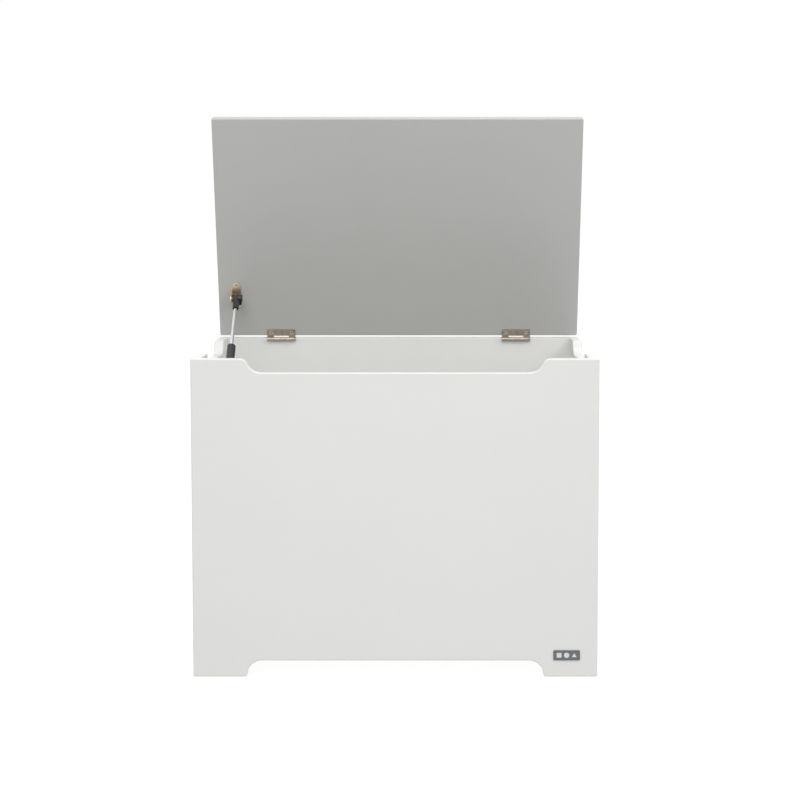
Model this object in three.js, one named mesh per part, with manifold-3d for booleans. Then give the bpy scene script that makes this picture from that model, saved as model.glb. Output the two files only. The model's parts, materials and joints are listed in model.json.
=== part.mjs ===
// A wooden toy box with a hinged lid and one gas strut, as an assembly of its separate pieces.
// Millimetres. Z is up, the front faces -Y and X runs to the right. The origin is on the floor,
// under the middle of the open box. The lid stands open, stopped by the strut at full stretch.

import * as THREE from 'three';
import { mergeVertices } from 'three/addons/utils/BufferGeometryUtils.js';
import Module from 'manifold-3d';

const wasm = await Module();
wasm.setup();

// Carcass, outside sizes.
const boxWidth = 640;
const boxDepth = 408;
const boxHeight = 506;
const panelThickness = 16;
const edgeRound = 1.5;
const edgeRoundSegments = 1;
const jointGap = 0.2; // glue line where two panels butt

// Top scoops: a step down from each corner wing to a lower rim, in two tangent arcs.
const scoopDepth = 22;
const wingRadius = 12.5;
const scoopRadius = 22.5;
const frontPanelWing = 77; // flat top at each end of the front panel
const sideFrontWing = 88; // flat top of a side, measured from the box's front face
const sideRearWing = 70; // the same, measured from the box's back face

// Bottom arches: the same kind of step, from a foot up to the arch.
const archHeight = 26;
const footRadius = 3;
const archRadius = 24;
const frontFoot = 82; // flat of a foot along the front and the back
const sideFoot = 82; // flat of a foot along a side, measured from the box's outside
const stepSegments = 4;

// Base.
const baseThickness = 12;
const baseHeight = 58; // floor to the top of the base
const battenSize = 18;

// Lid.
const lidEndInset = 3.5; // box's side to the lid's end
const lidOverhang = 10.9; // the closed lid's front edge past the box's front face
const lidThickness = 16;
const lidCornerRadius = 3;
const lidGap = 0.3; // between the closed lid and the wings that it rests on
const lidOpenAngle = THREE.MathUtils.degToRad(74);
const lidRearSetback = 5.6; // hinge axis to the lid's rear edge

// Hinges.
const hingeFromSide = 112; // box's side to the middle of a hinge
const hingeWidth = 50;
const leafThickness = 1.2;
const lidLeafLength = 18; // from the pin's axis
const backLeafLength = 16;
const leafCornerRadius = 1.5;
const leafNotch = 2.8; // slot between a leaf's plate and the other leaf's knuckles
const knuckleRadius = 3;
const knuckleLength = 12; // each end knuckle, on the lid's leaf
const knuckleGap = 0.3;
const knuckleSegments = 12;
const pinRadius = 1.4;
const pinBoreGap = 0.2;
const pinHeadStand = 0.6; // each end of the pin stands out this far
const hingeScrewSpread = 35.5;
const backScrewReach = 9.5; // hinge axis to the screws of the back leaf
const lidScrewReach = 11.5; // the same on the lid's leaf
const hingeScrewLength = 13;
const hingeScrewRadius = 1.5;
const hingeScrewHeadRadius = 3.1;
const hingeScrewHeadHeight = 1.8;

// Screws.
const screwTipLength = 2.5;
const screwSegments = 8;

// Clearances.
const seatGap = 0.2; // a piece lying on a flat face
const boreGap = 0.3; // a piece in a hole

// Strut.
const strutInset = 21; // left side's inner face to the strut's middle plane
const strutLength = 245; // ball centre to ball centre, at full stretch
const strutLean = THREE.MathUtils.degToRad(50); // from upright, when the lid is open
const strutPinAlongLid = 82; // hinge axis to the lid's ball, along the lid
const strutPinOffLid = 20; // lid's face to the ball's centre
const rodRadius = 3;
const rodExposed = 91; // rod that shows at full stretch
const rodEndLength = 25; // ball centre to the rod's end of the fitting
const rodSocketDepth = 13;
const tubeRadius = 7.5;
const tubeWall = 0.9;
const tubeLipDepth = 1.2;
const tubeEndWall = 2;
const tubeEndLength = 12; // lower ball centre to the tube
const glandLength = 9;
const pistonLength = 6;
const pistonFloor = 1; // left under the rod's end
const pistonClearance = 1.2; // gland to piston at full stretch
const strutSegments = 14;

// Ball joints.
const ballRadius = 4;
const socketGap = 0.3;
const socketMouthRadius = 3.4;
const neckRadius = 2.3;
const headRadius = 7; // barrel of an end fitting, across its ball
const headWidth = 14;
const headCap = 3; // the barrel's closed end stands out this much further
const fittingBodyRadius = 5.25;
const clipThickness = 0.6;
const clipWidth = 5;
const clipCentre = 6; // the ball to the middle of the clip, towards the closed end
const clipOpening = THREE.MathUtils.degToRad(60); // half the gap that the fitting's body passes
const rivetRadius = 3.6;
const rivetHeight = 1.2;
const collarRadius = 4;
const collarHeight = 1;
const studFootRadius = 5.5;
const studFootHeight = 2.5;

// Brackets.
const bracketLength = 48;
const bracketWidth = 16.5;
const bracketThickness = 1.5;
const bracketScrewSpread = 38;
const earBase = 26;
const earTipRadius = 6.5;
const bracketScrewLength = 12;
const bracketScrewRadius = 1.75;
const bracketScrewHeadRadius = 3.4;
const bracketScrewHeadHeight = 2;

// Knock-down fittings in the corners.
const camRadius = 7.5;
const camPastBolt = 4; // the cam goes this much deeper than the bolt's axis
const camFromEnd = 24; // panel's end to the cam's centre
const camBoltBoreRadius = 4;
const camBoltHeadRadius = 3.4;
const camBoltHeadLength = 3;
const camBoltRadius = 2.5;
const camBoltThreadRadius = 2.4;
const camBoltThreadLength = 10;
const camBoltCollarLength = 1.5;
const camBoltPastCentre = 2; // the bolt's head ends this far past the cam's centre
const camSlotLength = 9;
const camSlotWidth = 1.6;
const camSlotDepth = 2;
const camHeights = [120, 400];
const dowelRadius = 4;
const dowelInSide = 20;
const dowelInFace = 9;
const dowelHeight = 260;
const fittingSegments = 8;

// Badge.
const badgeWidth = 42;
const badgeHeight = 16;
const badgeThickness = 1.2;
const badgeFromSide = 28;
const badgeFromFloor = 27;
const badgeCornerRadius = 1.5;
const badgeEdge = 0.35;

// Places worked out from the sizes.
const badgeProud = badgeThickness + seatGap;
const frontY = -(boxDepth - badgeProud) / 2;
const backY = frontY + boxDepth;
const insideFrontY = frontY + panelThickness;
const insideBackY = backY - panelThickness;
const insideX = boxWidth / 2 - panelThickness;
const hingeY = insideBackY - knuckleRadius - boreGap;
const hingeZ = boxHeight - knuckleRadius;
const hingeSpread = boxWidth - 2 * hingeFromSide;
const lidWidth = boxWidth - 2 * lidEndInset;
const lidLength = hingeY - lidRearSetback - frontY + lidOverhang;
const lidRise = knuckleRadius + lidGap; // hinge axis up to the closed lid's underside
const knuckleBore = pinRadius + pinBoreGap;
const strutX = -insideX + strutInset;
const sideLength = boxDepth - 2 * (panelThickness + jointGap);
const camThickness = panelThickness / 2 + camPastBolt;

// Finishes.
const finishes = {
  whiteLacquer: { color: 0xf2f2ef, roughness: 0.4, metalness: 0 },
  greyLacquer: { color: 0xb4b5b5, roughness: 0.35, metalness: 0 },
  rawBoard: { color: 0xc9ab7c, roughness: 0.8, metalness: 0 },
  hingeBronze: { color: 0x8a8072, roughness: 0.35, metalness: 0.9 },
  blackTube: { color: 0x1c1c1e, roughness: 0.4, metalness: 0.6 },
  chromedRod: { color: 0xd6d8da, roughness: 0.12, metalness: 1 },
  blackNylon: { color: 0x232325, roughness: 0.55, metalness: 0 },
  yellowZinc: { color: 0xb39a63, roughness: 0.35, metalness: 0.9 },
  brass: { color: 0xc79a4b, roughness: 0.3, metalness: 1 },
  brightZinc: { color: 0xb9bcc2, roughness: 0.3, metalness: 1 },
  dowelWood: { color: 0xd8bd8f, roughness: 0.75, metalness: 0 },
  badgeGrey: { color: 0x4b4d50, roughness: 0.45, metalness: 0.2 },
};

function finish(name) {
  return new THREE.MeshStandardMaterial({ name, ...finishes[name] });
}

// Solids.

function toSolid(geometry) {
  const bare = geometry.clone();
  bare.deleteAttribute('normal');
  bare.deleteAttribute('uv');
  const merged = mergeVertices(bare, 1e-4);
  const corners = merged.index.array;
  const kept = [];
  for (let i = 0; i < corners.length; i += 3) {
    const [a, b, c] = corners.slice(i, i + 3);
    if (a !== b && b !== c && c !== a) {
      kept.push(a, b, c);
    }
  }
  return new wasm.Manifold(new wasm.Mesh({
    numProp: 3,
    vertProperties: merged.attributes.position.array,
    triVerts: new Uint32Array(kept),
  }));
}

function toGeometry(solid) {
  const { vertProperties, triVerts } = solid.getMesh();
  const geometry = new THREE.BufferGeometry();
  geometry.setAttribute('position', new THREE.BufferAttribute(vertProperties, 3));
  geometry.setIndex(new THREE.BufferAttribute(triVerts, 1));
  geometry.computeVertexNormals();
  return geometry;
}

function cut(geometry, cutters) {
  const solid = cutters.reduce((rest, cutter) => rest.subtract(toSolid(cutter)), toSolid(geometry));
  return toGeometry(solid);
}

function join(geometries) {
  const [first, ...others] = geometries.map(toSolid);
  return toGeometry(others.reduce((whole, part) => whole.add(part), first));
}

function block(low, high) {
  const size = high.map((value, i) => value - low[i]);
  const middle = high.map((value, i) => (value + low[i]) / 2);
  return new THREE.BoxGeometry(...size).translate(...middle);
}

// A profile of [radius, height] pairs turned about the Z axis.
function turned(profile, segments) {
  const points = profile.map(([radius, height]) => new THREE.Vector2(radius, height));
  return new THREE.LatheGeometry(points, segments).rotateX(Math.PI / 2);
}

function cylinder(radius, low, high, segments) {
  return turned([[0, low], [radius, low], [radius, high], [0, high]], segments);
}

// Turns what points up Z so that it points along +X.
function pointAlongX(geometry) {
  return geometry.rotateY(Math.PI / 2);
}

// Turns what points up Z so that it points along -Y, or along +Y.
function pointAlongY(geometry, direction) {
  return geometry.rotateX(direction > 0 ? -Math.PI / 2 : Math.PI / 2);
}

// Extrudes an outline drawn in Y and Z along +X, from x = 0.
function extrudeAlongX(shape, depth, options = {}) {
  const geometry = new THREE.ExtrudeGeometry(shape, { depth, bevelEnabled: false, ...options });
  const axes = [new THREE.Vector3(0, 1, 0), new THREE.Vector3(0, 0, 1), new THREE.Vector3(1, 0, 0)];
  return geometry.applyMatrix4(new THREE.Matrix4().makeBasis(...axes));
}

// Extrudes an outline drawn in X and Z along -Y, from y = 0.
function extrudeAlongMinusY(shape, depth, options = {}) {
  const geometry = new THREE.ExtrudeGeometry(shape, { depth, bevelEnabled: false, ...options });
  return geometry.rotateX(Math.PI / 2);
}

function roundedEdges(round, segments) {
  return {
    bevelEnabled: true,
    bevelThickness: round,
    bevelSize: round,
    bevelOffset: -round,
    bevelSegments: segments,
  };
}

function roundedRectangle(width, height, radius) {
  const shape = new THREE.Shape();
  const x = width / 2 - radius;
  const y = height / 2 - radius;
  shape.absarc(x, y, radius, 0, Math.PI / 2);
  shape.absarc(-x, y, radius, Math.PI / 2, Math.PI);
  shape.absarc(-x, -y, radius, Math.PI, Math.PI * 1.5);
  shape.absarc(x, -y, radius, Math.PI * 1.5, Math.PI * 2);
  shape.closePath();
  return shape;
}

function piece(name, geometry, finishName) {
  const mesh = new THREE.Mesh(geometry, finish(finishName));
  mesh.name = name;
  return mesh;
}

function placed(mesh, x, y, z) {
  mesh.position.set(x, y, z);
  return mesh;
}

// Panels.

function stepTurn(rise, reach) {
  return Math.acos(Math.max(0, 1 - rise / reach));
}

function stepWidth(rise, firstRadius, lastRadius) {
  const reach = firstRadius + lastRadius;
  return reach * Math.sin(stepTurn(rise, reach));
}

// Adds a step to an outline: an arc that leaves the level, and one that meets the next level.
function addStep(shape, x, y, goX, goY, rise, firstRadius, lastRadius) {
  const reach = firstRadius + lastRadius;
  const turn = stepTurn(rise, reach);
  const endX = x + goX * reach * Math.sin(turn);
  const endY = y + goY * rise;
  for (let i = 1; i <= stepSegments; i += 1) {
    const angle = (turn * i) / stepSegments;
    const along = firstRadius * Math.sin(angle);
    shape.lineTo(x + goX * along, y + goY * firstRadius * (1 - Math.cos(angle)));
  }
  const firstOfSecondArc = rise > reach ? 0 : 1;
  for (let i = firstOfSecondArc; i <= stepSegments; i += 1) {
    const angle = turn * (1 - i / stepSegments);
    const along = lastRadius * Math.sin(angle);
    shape.lineTo(endX - goX * along, endY - goY * lastRadius * (1 - Math.cos(angle)));
  }
}

// A panel from x = 0 to its length, with a scoop in its top and an arch in its bottom edge.
function panelOutline(length, startFoot, endFoot, startWing, endWing) {
  const scoopStep = stepWidth(scoopDepth, wingRadius, scoopRadius);
  const archStep = stepWidth(archHeight, footRadius, archRadius);
  const rim = boxHeight - scoopDepth;
  const shape = new THREE.Shape();
  shape.moveTo(0, 0);
  shape.lineTo(startFoot, 0);
  addStep(shape, startFoot, 0, 1, 1, archHeight, footRadius, archRadius);
  const archEnd = length - endFoot - archStep;
  shape.lineTo(archEnd, archHeight);
  addStep(shape, archEnd, archHeight, 1, -1, archHeight, archRadius, footRadius);
  shape.lineTo(length, 0);
  shape.lineTo(length, boxHeight);
  shape.lineTo(length - endWing, boxHeight);
  addStep(shape, length - endWing, boxHeight, -1, -1, scoopDepth, wingRadius, scoopRadius);
  const scoopStart = startWing + scoopStep;
  shape.lineTo(scoopStart, rim);
  addStep(shape, scoopStart, rim, -1, 1, scoopDepth, scoopRadius, wingRadius);
  shape.lineTo(0, boxHeight);
  shape.closePath();
  return shape;
}

// The back's outline: no scoop, because its straight top edge carries the hinges.
function backOutline() {
  const archStep = stepWidth(archHeight, footRadius, archRadius);
  const shape = new THREE.Shape();
  shape.moveTo(0, 0);
  shape.lineTo(frontFoot, 0);
  addStep(shape, frontFoot, 0, 1, 1, archHeight, footRadius, archRadius);
  const archEnd = boxWidth - frontFoot - archStep;
  shape.lineTo(archEnd, archHeight);
  addStep(shape, archEnd, archHeight, 1, -1, archHeight, archRadius, footRadius);
  shape.lineTo(boxWidth, 0);
  shape.lineTo(boxWidth, boxHeight);
  shape.lineTo(0, boxHeight);
  shape.closePath();
  return shape;
}

const sideMidX = boxWidth / 2 - panelThickness / 2;
const panelEdges = roundedEdges(edgeRound, edgeRoundSegments);
const panelCore = panelThickness - 2 * edgeRound;

// Holes in the inner face of the front or the back, where the cam bolts and dowels enter.
// The panel's inner face looks along `inward`, which is +1 for +Y.
function faceBores(innerY, inward) {
  const bores = [];
  for (const side of [-1, 1]) {
    for (const height of camHeights) {
      const depth = camBoltThreadLength + boreGap;
      const bore = cylinder(camBoltThreadRadius + boreGap, -depth, 1, fittingSegments);
      bores.push(pointAlongY(bore, inward).translate(side * sideMidX, innerY, height));
    }
    const dowelBore = cylinder(dowelRadius + boreGap, -dowelInFace - boreGap, 1, fittingSegments);
    bores.push(pointAlongY(dowelBore, inward).translate(side * sideMidX, innerY, dowelHeight));
  }
  return bores;
}

function frontPanel() {
  const outline = panelOutline(boxWidth, frontFoot, frontFoot, frontPanelWing, frontPanelWing);
  const slab = extrudeAlongMinusY(outline, panelCore, panelEdges);
  slab.translate(-boxWidth / 2, insideFrontY - edgeRound, 0);
  return piece('front_panel', cut(slab, faceBores(insideFrontY, 1)), 'whiteLacquer');
}

function backPanel() {
  const slab = extrudeAlongMinusY(backOutline(), panelCore, panelEdges);
  slab.translate(-boxWidth / 2, backY - edgeRound, 0);
  const cutters = faceBores(insideBackY, -1);
  for (const side of [-1, 1]) {
    const x = (side * hingeSpread) / 2;
    const half = hingeWidth / 2 + boreGap;
    const floor = boxHeight - leafThickness - boreGap;
    cutters.push(block(
      [x - half, insideBackY - 1, floor],
      [x + half, hingeY + backLeafLength + boreGap, boxHeight + 1],
    ));
    cutters.push(...hingeScrewBores().map((bore) => bore
      .translate(x, hingeY + backScrewReach, boxHeight)));
  }
  return piece('back_panel', cut(slab, cutters), 'whiteLacquer');
}

// Bores at one end of a side panel, drawn for the end at y = 0 with the panel on the +Y side.
// The cam's bore opens on the face at `innerX`, whose inside of the box lies towards `inward`.
function cornerBores(innerX, inward) {
  const bores = [];
  const depth = camThickness + boreGap;
  for (const height of camHeights) {
    const cam = cylinder(camRadius + boreGap, -depth, 1, fittingSegments);
    pointAlongX(cam);
    if (inward < 0) {
      cam.rotateZ(Math.PI);
    }
    bores.push(cam.translate(innerX, camFromEnd, height));
    const bolt = cylinder(camBoltBoreRadius, -1, camFromEnd, fittingSegments);
    bores.push(pointAlongY(bolt, 1).translate(innerX - (inward * panelThickness) / 2, 0, height));
  }
  const dowel = cylinder(dowelRadius + boreGap, -1, dowelInSide + boreGap, fittingSegments);
  bores.push(pointAlongY(dowel, 1).translate(innerX - (inward * panelThickness) / 2, 0, dowelHeight));
  return bores;
}

// A side panel between the front and the back. `side` is -1 for the left and 1 for the right.
function sidePanel(name, side) {
  const reveal = panelThickness + jointGap;
  const outline = panelOutline(
    sideLength,
    sideFoot - reveal,
    sideFoot - reveal,
    sideFrontWing - reveal,
    sideRearWing - reveal,
  );
  const slab = extrudeAlongX(outline, panelCore, panelEdges);
  slab.translate(edgeRound, 0, 0);
  const innerX = side < 0 ? panelThickness : 0;
  const frontBores = cornerBores(innerX, -side);
  const rearBores = cornerBores(0, side).map((bore) => bore
    .rotateZ(Math.PI)
    .translate(innerX, sideLength, 0));
  const cutters = [...frontBores, ...rearBores];
  const mesh = piece(name, slab, 'whiteLacquer');
  const left = side < 0 ? -boxWidth / 2 : insideX;
  placed(mesh, left, insideFrontY + jointGap, 0);
  if (side < 0) {
    cutters.push(...sideBracketScrewBores().map((bore) => bore
      .translate(-mesh.position.x, -mesh.position.y, 0)));
  }
  mesh.geometry = cut(slab, cutters);
  return mesh;
}

function basePanel() {
  const halfX = insideX - jointGap;
  const low = [-halfX, insideFrontY + jointGap, baseHeight - baseThickness];
  return piece('base_panel', block(low, [halfX, insideBackY - jointGap, baseHeight]), 'whiteLacquer');
}

function batten(name, side) {
  const top = baseHeight - baseThickness - jointGap;
  const outer = insideX - jointGap;
  const inner = outer - battenSize;
  const [lowX, highX] = side < 0 ? [-outer, -inner] : [inner, outer];
  const low = [lowX, insideFrontY + jointGap, top - battenSize];
  return piece(name, block(low, [highX, insideBackY - jointGap, top]), 'rawBoard');
}

// Corner fittings.

function camLock(name, x, y, z, side, end) {
  const lock = cylinder(camRadius, -camThickness, 0, fittingSegments);
  const slot = [camSlotLength / 2, camSlotWidth / 2];
  const across = block([-slot[0], -slot[1], -camSlotDepth], [slot[0], slot[1], 1]);
  const along = block([-slot[1], -slot[0], -camSlotDepth], [slot[1], slot[0], 1]);
  const body = pointAlongX(cut(lock, [across, along]));
  const holeRadius = camBoltHeadRadius + boreGap;
  const boltHole = cylinder(holeRadius, -camBoltPastCentre - boreGap, camRadius + 1, fittingSegments);
  pointAlongY(boltHole, -1).translate(-panelThickness / 2 + seatGap, 0, 0);
  const mesh = piece(name, cut(body, [boltHole]), 'brightZinc');
  if (side > 0) {
    mesh.rotation.z = Math.PI;
  }
  if ((side > 0) !== (end > 0)) {
    mesh.scale.y = -1;
  }
  return placed(mesh, x, y, z);
}

// A cam bolt that points along +Y from the face that it is screwed into.
function camBolt(name, x, y, z, direction) {
  const tip = camFromEnd + jointGap + camBoltPastCentre;
  const neckEnd = tip - camBoltHeadLength;
  const profile = [
    [0, -camBoltThreadLength],
    [camBoltThreadRadius, -camBoltThreadLength + 2],
    [camBoltThreadRadius, seatGap],
    [camBoltHeadRadius, seatGap],
    [camBoltHeadRadius, seatGap + camBoltCollarLength],
    [camBoltRadius, seatGap + camBoltCollarLength],
    [camBoltRadius, neckEnd],
    [camBoltHeadRadius, neckEnd + 0.6],
    [camBoltHeadRadius, tip - 0.6],
    [0, tip],
  ];
  const mesh = piece(name, pointAlongY(turned(profile, fittingSegments), direction), 'brightZinc');
  return placed(mesh, x, y, z);
}

function dowel(name, x, y, direction) {
  const low = -dowelInFace;
  const high = jointGap + dowelInSide;
  const profile = [
    [0, low],
    [dowelRadius - 0.8, low],
    [dowelRadius, low + 1],
    [dowelRadius, high - 1],
    [dowelRadius - 0.8, high],
    [0, high],
  ];
  const mesh = piece(name, pointAlongY(turned(profile, fittingSegments), direction), 'dowelWood');
  return placed(mesh, x, y, dowelHeight);
}

function cornerFittings() {
  const corners = [
    { name: 'front_left', side: -1, end: -1 },
    { name: 'front_right', side: 1, end: -1 },
    { name: 'back_left', side: -1, end: 1 },
    { name: 'back_right', side: 1, end: 1 },
  ];
  const levels = ['lower', 'upper'];
  const meshes = [];
  for (const { name, side, end } of corners) {
    const faceY = end < 0 ? insideFrontY : insideBackY;
    const x = side * sideMidX;
    levels.forEach((level, i) => {
      const z = camHeights[i];
      const camY = faceY - end * (jointGap + camFromEnd);
      const camX = side * (insideX + seatGap);
      meshes.push(camLock(`${name}_${level}_cam_lock`, camX, camY, z, side, end));
      meshes.push(camBolt(`${name}_${level}_cam_bolt`, x, faceY, z, -end));
    });
    meshes.push(dowel(`${name}_dowel`, x, faceY, -end));
  }
  return meshes;
}

// Screws point down -Z from the middle of their heads' flat tops.

// A screw's bore is the screw with `spare` all round it, carried up through the face by `rise`.
function screwProfile(length, radius, head, headHeight, spare, rise) {
  const profile = [
    [0, -length - spare],
    [radius * 0.4 + spare, -length - spare],
    [radius + spare, -length + screwTipLength],
    [radius + spare, -headHeight],
    [head + spare, 0],
  ];
  if (rise > 0) {
    profile.push([head + spare, rise]);
  }
  profile.push([0, rise]);
  return profile;
}

function screwGeometry(length, radius, head, headHeight) {
  return turned(screwProfile(length, radius, head, headHeight, 0, 0), screwSegments);
}

function screwBore(length, radius, head, headHeight) {
  return turned(screwProfile(length, radius, head, headHeight, boreGap, 3), screwSegments);
}

function hingeScrewBores() {
  return [-1, 1].map((side) => screwBore(
    hingeScrewLength,
    hingeScrewRadius,
    hingeScrewHeadRadius,
    hingeScrewHeadHeight,
  ).translate((side * hingeScrewSpread) / 2, 0, 0));
}

function hingeScrew(name) {
  return piece(name, screwGeometry(
    hingeScrewLength,
    hingeScrewRadius,
    hingeScrewHeadRadius,
    hingeScrewHeadHeight,
  ), 'hingeBronze');
}

function bracketScrewBore() {
  return screwBore(
    bracketScrewLength,
    bracketScrewRadius,
    bracketScrewHeadRadius,
    bracketScrewHeadHeight,
  );
}

function bracketScrew(name) {
  return piece(name, screwGeometry(
    bracketScrewLength,
    bracketScrewRadius,
    bracketScrewHeadRadius,
    bracketScrewHeadHeight,
  ), 'brightZinc');
}

// Hinges. A leaf is drawn about the pin's axis, lying flat and reaching along -Y, with its
// upper face level with the top of the knuckles.

function knuckle(lowX, highX) {
  const rest = Math.PI / knuckleSegments;
  const barrel = cylinder(knuckleRadius, lowX, highX, knuckleSegments).rotateZ(rest);
  return pointAlongX(barrel);
}

function leafPlate(length, startY) {
  const reach = length - startY;
  const shape = roundedRectangle(hingeWidth, reach, leafCornerRadius);
  const plate = new THREE.ExtrudeGeometry(shape, {
    depth: leafThickness,
    bevelEnabled: false,
    curveSegments: 3,
  });
  return plate.translate(0, -startY - reach / 2, knuckleRadius - leafThickness);
}

function leafTab(lowX, highX, endY) {
  const low = [lowX, -endY, knuckleRadius - leafThickness];
  return block(low, [highX, 0, knuckleRadius]);
}

const lidLeafFace = knuckleRadius - leafThickness; // the face that the lid's screws enter
const plateStart = knuckleRadius + leafNotch; // hinge axis to the full-width part of a leaf
const tabEnd = plateStart + leafCornerRadius + 0.5;

function leaf(name, length, knuckles, screwBores) {
  const parts = [leafPlate(length, plateStart)];
  for (const [lowX, highX] of knuckles) {
    parts.push(knuckle(lowX, highX));
    parts.push(leafTab(lowX, highX, tabEnd));
  }
  const bore = cylinder(knuckleBore, -hingeWidth, hingeWidth, knuckleSegments);
  return piece(name, cut(join(parts), [pointAlongX(bore), ...screwBores]), 'hingeBronze');
}

function lidLeaf(name) {
  const half = hingeWidth / 2;
  const knuckles = [[-half, -half + knuckleLength], [half - knuckleLength, half]];
  const bores = hingeScrewBores().map((bore) => bore
    .rotateX(Math.PI)
    .translate(0, -lidScrewReach, lidLeafFace));
  return leaf(name, lidLeafLength, knuckles, bores);
}

function backLeaf(name) {
  const half = hingeWidth / 2 - knuckleLength - knuckleGap;
  const bores = hingeScrewBores().map((bore) => bore
    .translate(0, -backScrewReach, knuckleRadius));
  const mesh = leaf(name, backLeafLength, [[-half, half]], bores);
  mesh.rotation.z = Math.PI;
  return mesh;
}

function hingePin(name) {
  const half = hingeWidth / 2 + pinHeadStand;
  const profile = [
    [0, -half],
    [pinRadius - 0.4, -half],
    [pinRadius, -half + 0.4],
    [pinRadius, half - 0.4],
    [pinRadius - 0.4, half],
    [0, half],
  ];
  return piece(name, pointAlongX(turned(profile, knuckleSegments)), 'hingeBronze');
}

const hingeSides = [{ name: 'left', side: -1 }, { name: 'right', side: 1 }];
const screwSides = [{ name: 'outer', side: 1 }, { name: 'inner', side: -1 }];

function fixedHingeParts() {
  const meshes = [];
  for (const { name, side } of hingeSides) {
    const x = (side * hingeSpread) / 2;
    meshes.push(placed(backLeaf(`${name}_hinge_back_leaf`), x, hingeY, hingeZ));
    meshes.push(placed(hingePin(`${name}_hinge_pin`), x, hingeY, hingeZ));
    for (const { name: place, side: toOuter } of screwSides) {
      const screwX = x + (side * toOuter * hingeScrewSpread) / 2;
      const screw = hingeScrew(`${name}_hinge_back_${place}_screw`);
      meshes.push(placed(screw, screwX, hingeY + backScrewReach, boxHeight));
    }
  }
  return meshes;
}

// The parts below belong to the lid. They are placed from the hinge axis with the lid closed,
// and the lid's group turns them all open. Screws point up into the lid.

function lidHingeParts() {
  const meshes = [];
  for (const { name, side } of hingeSides) {
    const x = (side * hingeSpread) / 2;
    meshes.push(placed(lidLeaf(`${name}_hinge_lid_leaf`), x, 0, 0));
    for (const { name: place, side: toOuter } of screwSides) {
      const screwX = x + (side * toOuter * hingeScrewSpread) / 2;
      const screw = hingeScrew(`${name}_hinge_lid_${place}_screw`);
      screw.rotation.x = Math.PI;
      meshes.push(placed(screw, screwX, -lidScrewReach, lidLeafFace));
    }
  }
  return meshes;
}

function lidPanel() {
  const shape = roundedRectangle(lidWidth, lidLength, lidCornerRadius);
  const slab = new THREE.ExtrudeGeometry(shape, {
    depth: lidThickness - 2 * edgeRound,
    curveSegments: 3,
    ...panelEdges,
  });
  slab.translate(0, -lidRearSetback - lidLength / 2, lidRise + edgeRound);
  const cutters = [];
  for (const { side } of hingeSides) {
    cutters.push(...hingeScrewBores().map((bore) => bore
      .rotateX(Math.PI)
      .translate((side * hingeSpread) / 2, -lidScrewReach, lidLeafFace)));
  }
  cutters.push(...lidBracketScrewPlaces().map(([x, y, z]) => bracketScrewBore()
    .rotateX(Math.PI)
    .translate(x, y, z)));
  return piece('lid_panel', cut(slab, cutters), 'greyLacquer');
}

// Strut brackets.

const lidFittingY = -strutPinAlongLid;
const lidFittingZ = lidRise - strutPinOffLid;
const lidBracketTop = lidRise - seatGap;
const lidBracketFace = lidBracketTop - bracketThickness;
const earInnerX = strutX - headWidth / 2 - collarHeight - 2 * socketGap;
const earOuterX = earInnerX - bracketThickness;
const lidBracketX = earOuterX + bracketWidth / 2;

function lidBracketScrewPlaces() {
  return [-1, 1].map((end) => [
    lidBracketX,
    lidFittingY + (end * bracketScrewSpread) / 2,
    lidBracketFace,
  ]);
}

function bracketPlate(thickness) {
  return new THREE.ExtrudeGeometry(
    roundedRectangle(bracketWidth, bracketLength, bracketWidth / 2 - 0.1),
    { depth: thickness, bevelEnabled: false, curveSegments: 5 },
  );
}

// The ear narrows from the plate down to a round tip about the ball's axis.
function earOutline() {
  const shape = new THREE.Shape();
  const base = lidBracketTop - bracketThickness / 2;
  const drop = base - lidFittingZ;
  const lean = Math.atan2(earBase / 2 - earTipRadius, drop);
  shape.moveTo(lidFittingY - earBase / 2, base);
  shape.absarc(lidFittingY, lidFittingZ, earTipRadius, Math.PI + lean, Math.PI * 2 - lean);
  shape.lineTo(lidFittingY + earBase / 2, base);
  shape.closePath();
  return shape;
}

function lidBracket() {
  const plate = bracketPlate(bracketThickness).translate(lidBracketX, lidFittingY, lidBracketFace);
  const ear = extrudeAlongX(earOutline(), bracketThickness, { curveSegments: 6 });
  ear.translate(earOuterX, 0, 0);
  const studHole = pointAlongX(cylinder(neckRadius + boreGap, -5, 5, fittingSegments));
  studHole.translate(earOuterX, lidFittingY, lidFittingZ);
  const screwHoles = lidBracketScrewPlaces().map(([x, y, z]) => bracketScrewBore()
    .rotateX(Math.PI)
    .translate(x, y, z));
  return piece('strut_lid_bracket', cut(join([plate, ear]), [studHole, ...screwHoles]), 'yellowZinc');
}

// A profile of a ball on a neck, for turning: the ball's centre is at height 0.
function ballProfile(neckStart) {
  const points = [[neckRadius, neckStart]];
  const first = Math.asin(neckRadius / ballRadius);
  const steps = 6;
  for (let i = 0; i <= steps; i += 1) {
    const angle = first + ((Math.PI - first) * i) / steps;
    const radius = i === steps ? 0 : ballRadius * Math.sin(angle);
    points.push([radius, -ballRadius * Math.cos(angle)]);
  }
  return points;
}

function lidBallStud() {
  const earInner = earInnerX - strutX;
  const earOuter = earOuterX - strutX;
  const profile = [
    [0, earOuter - seatGap - rivetHeight],
    [rivetRadius - 0.6, earOuter - seatGap - rivetHeight],
    [rivetRadius, earOuter - seatGap - rivetHeight + 0.5],
    [rivetRadius, earOuter - seatGap],
    [neckRadius, earOuter - seatGap],
    [neckRadius, earInner + seatGap],
    [collarRadius, earInner + seatGap],
    [collarRadius, earInner + collarHeight],
    ...ballProfile(earInner + collarHeight),
  ];
  const mesh = piece('strut_lid_ball_stud', pointAlongX(turned(profile, strutSegments)), 'brass');
  return placed(mesh, strutX, lidFittingY, lidFittingZ);
}

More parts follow.
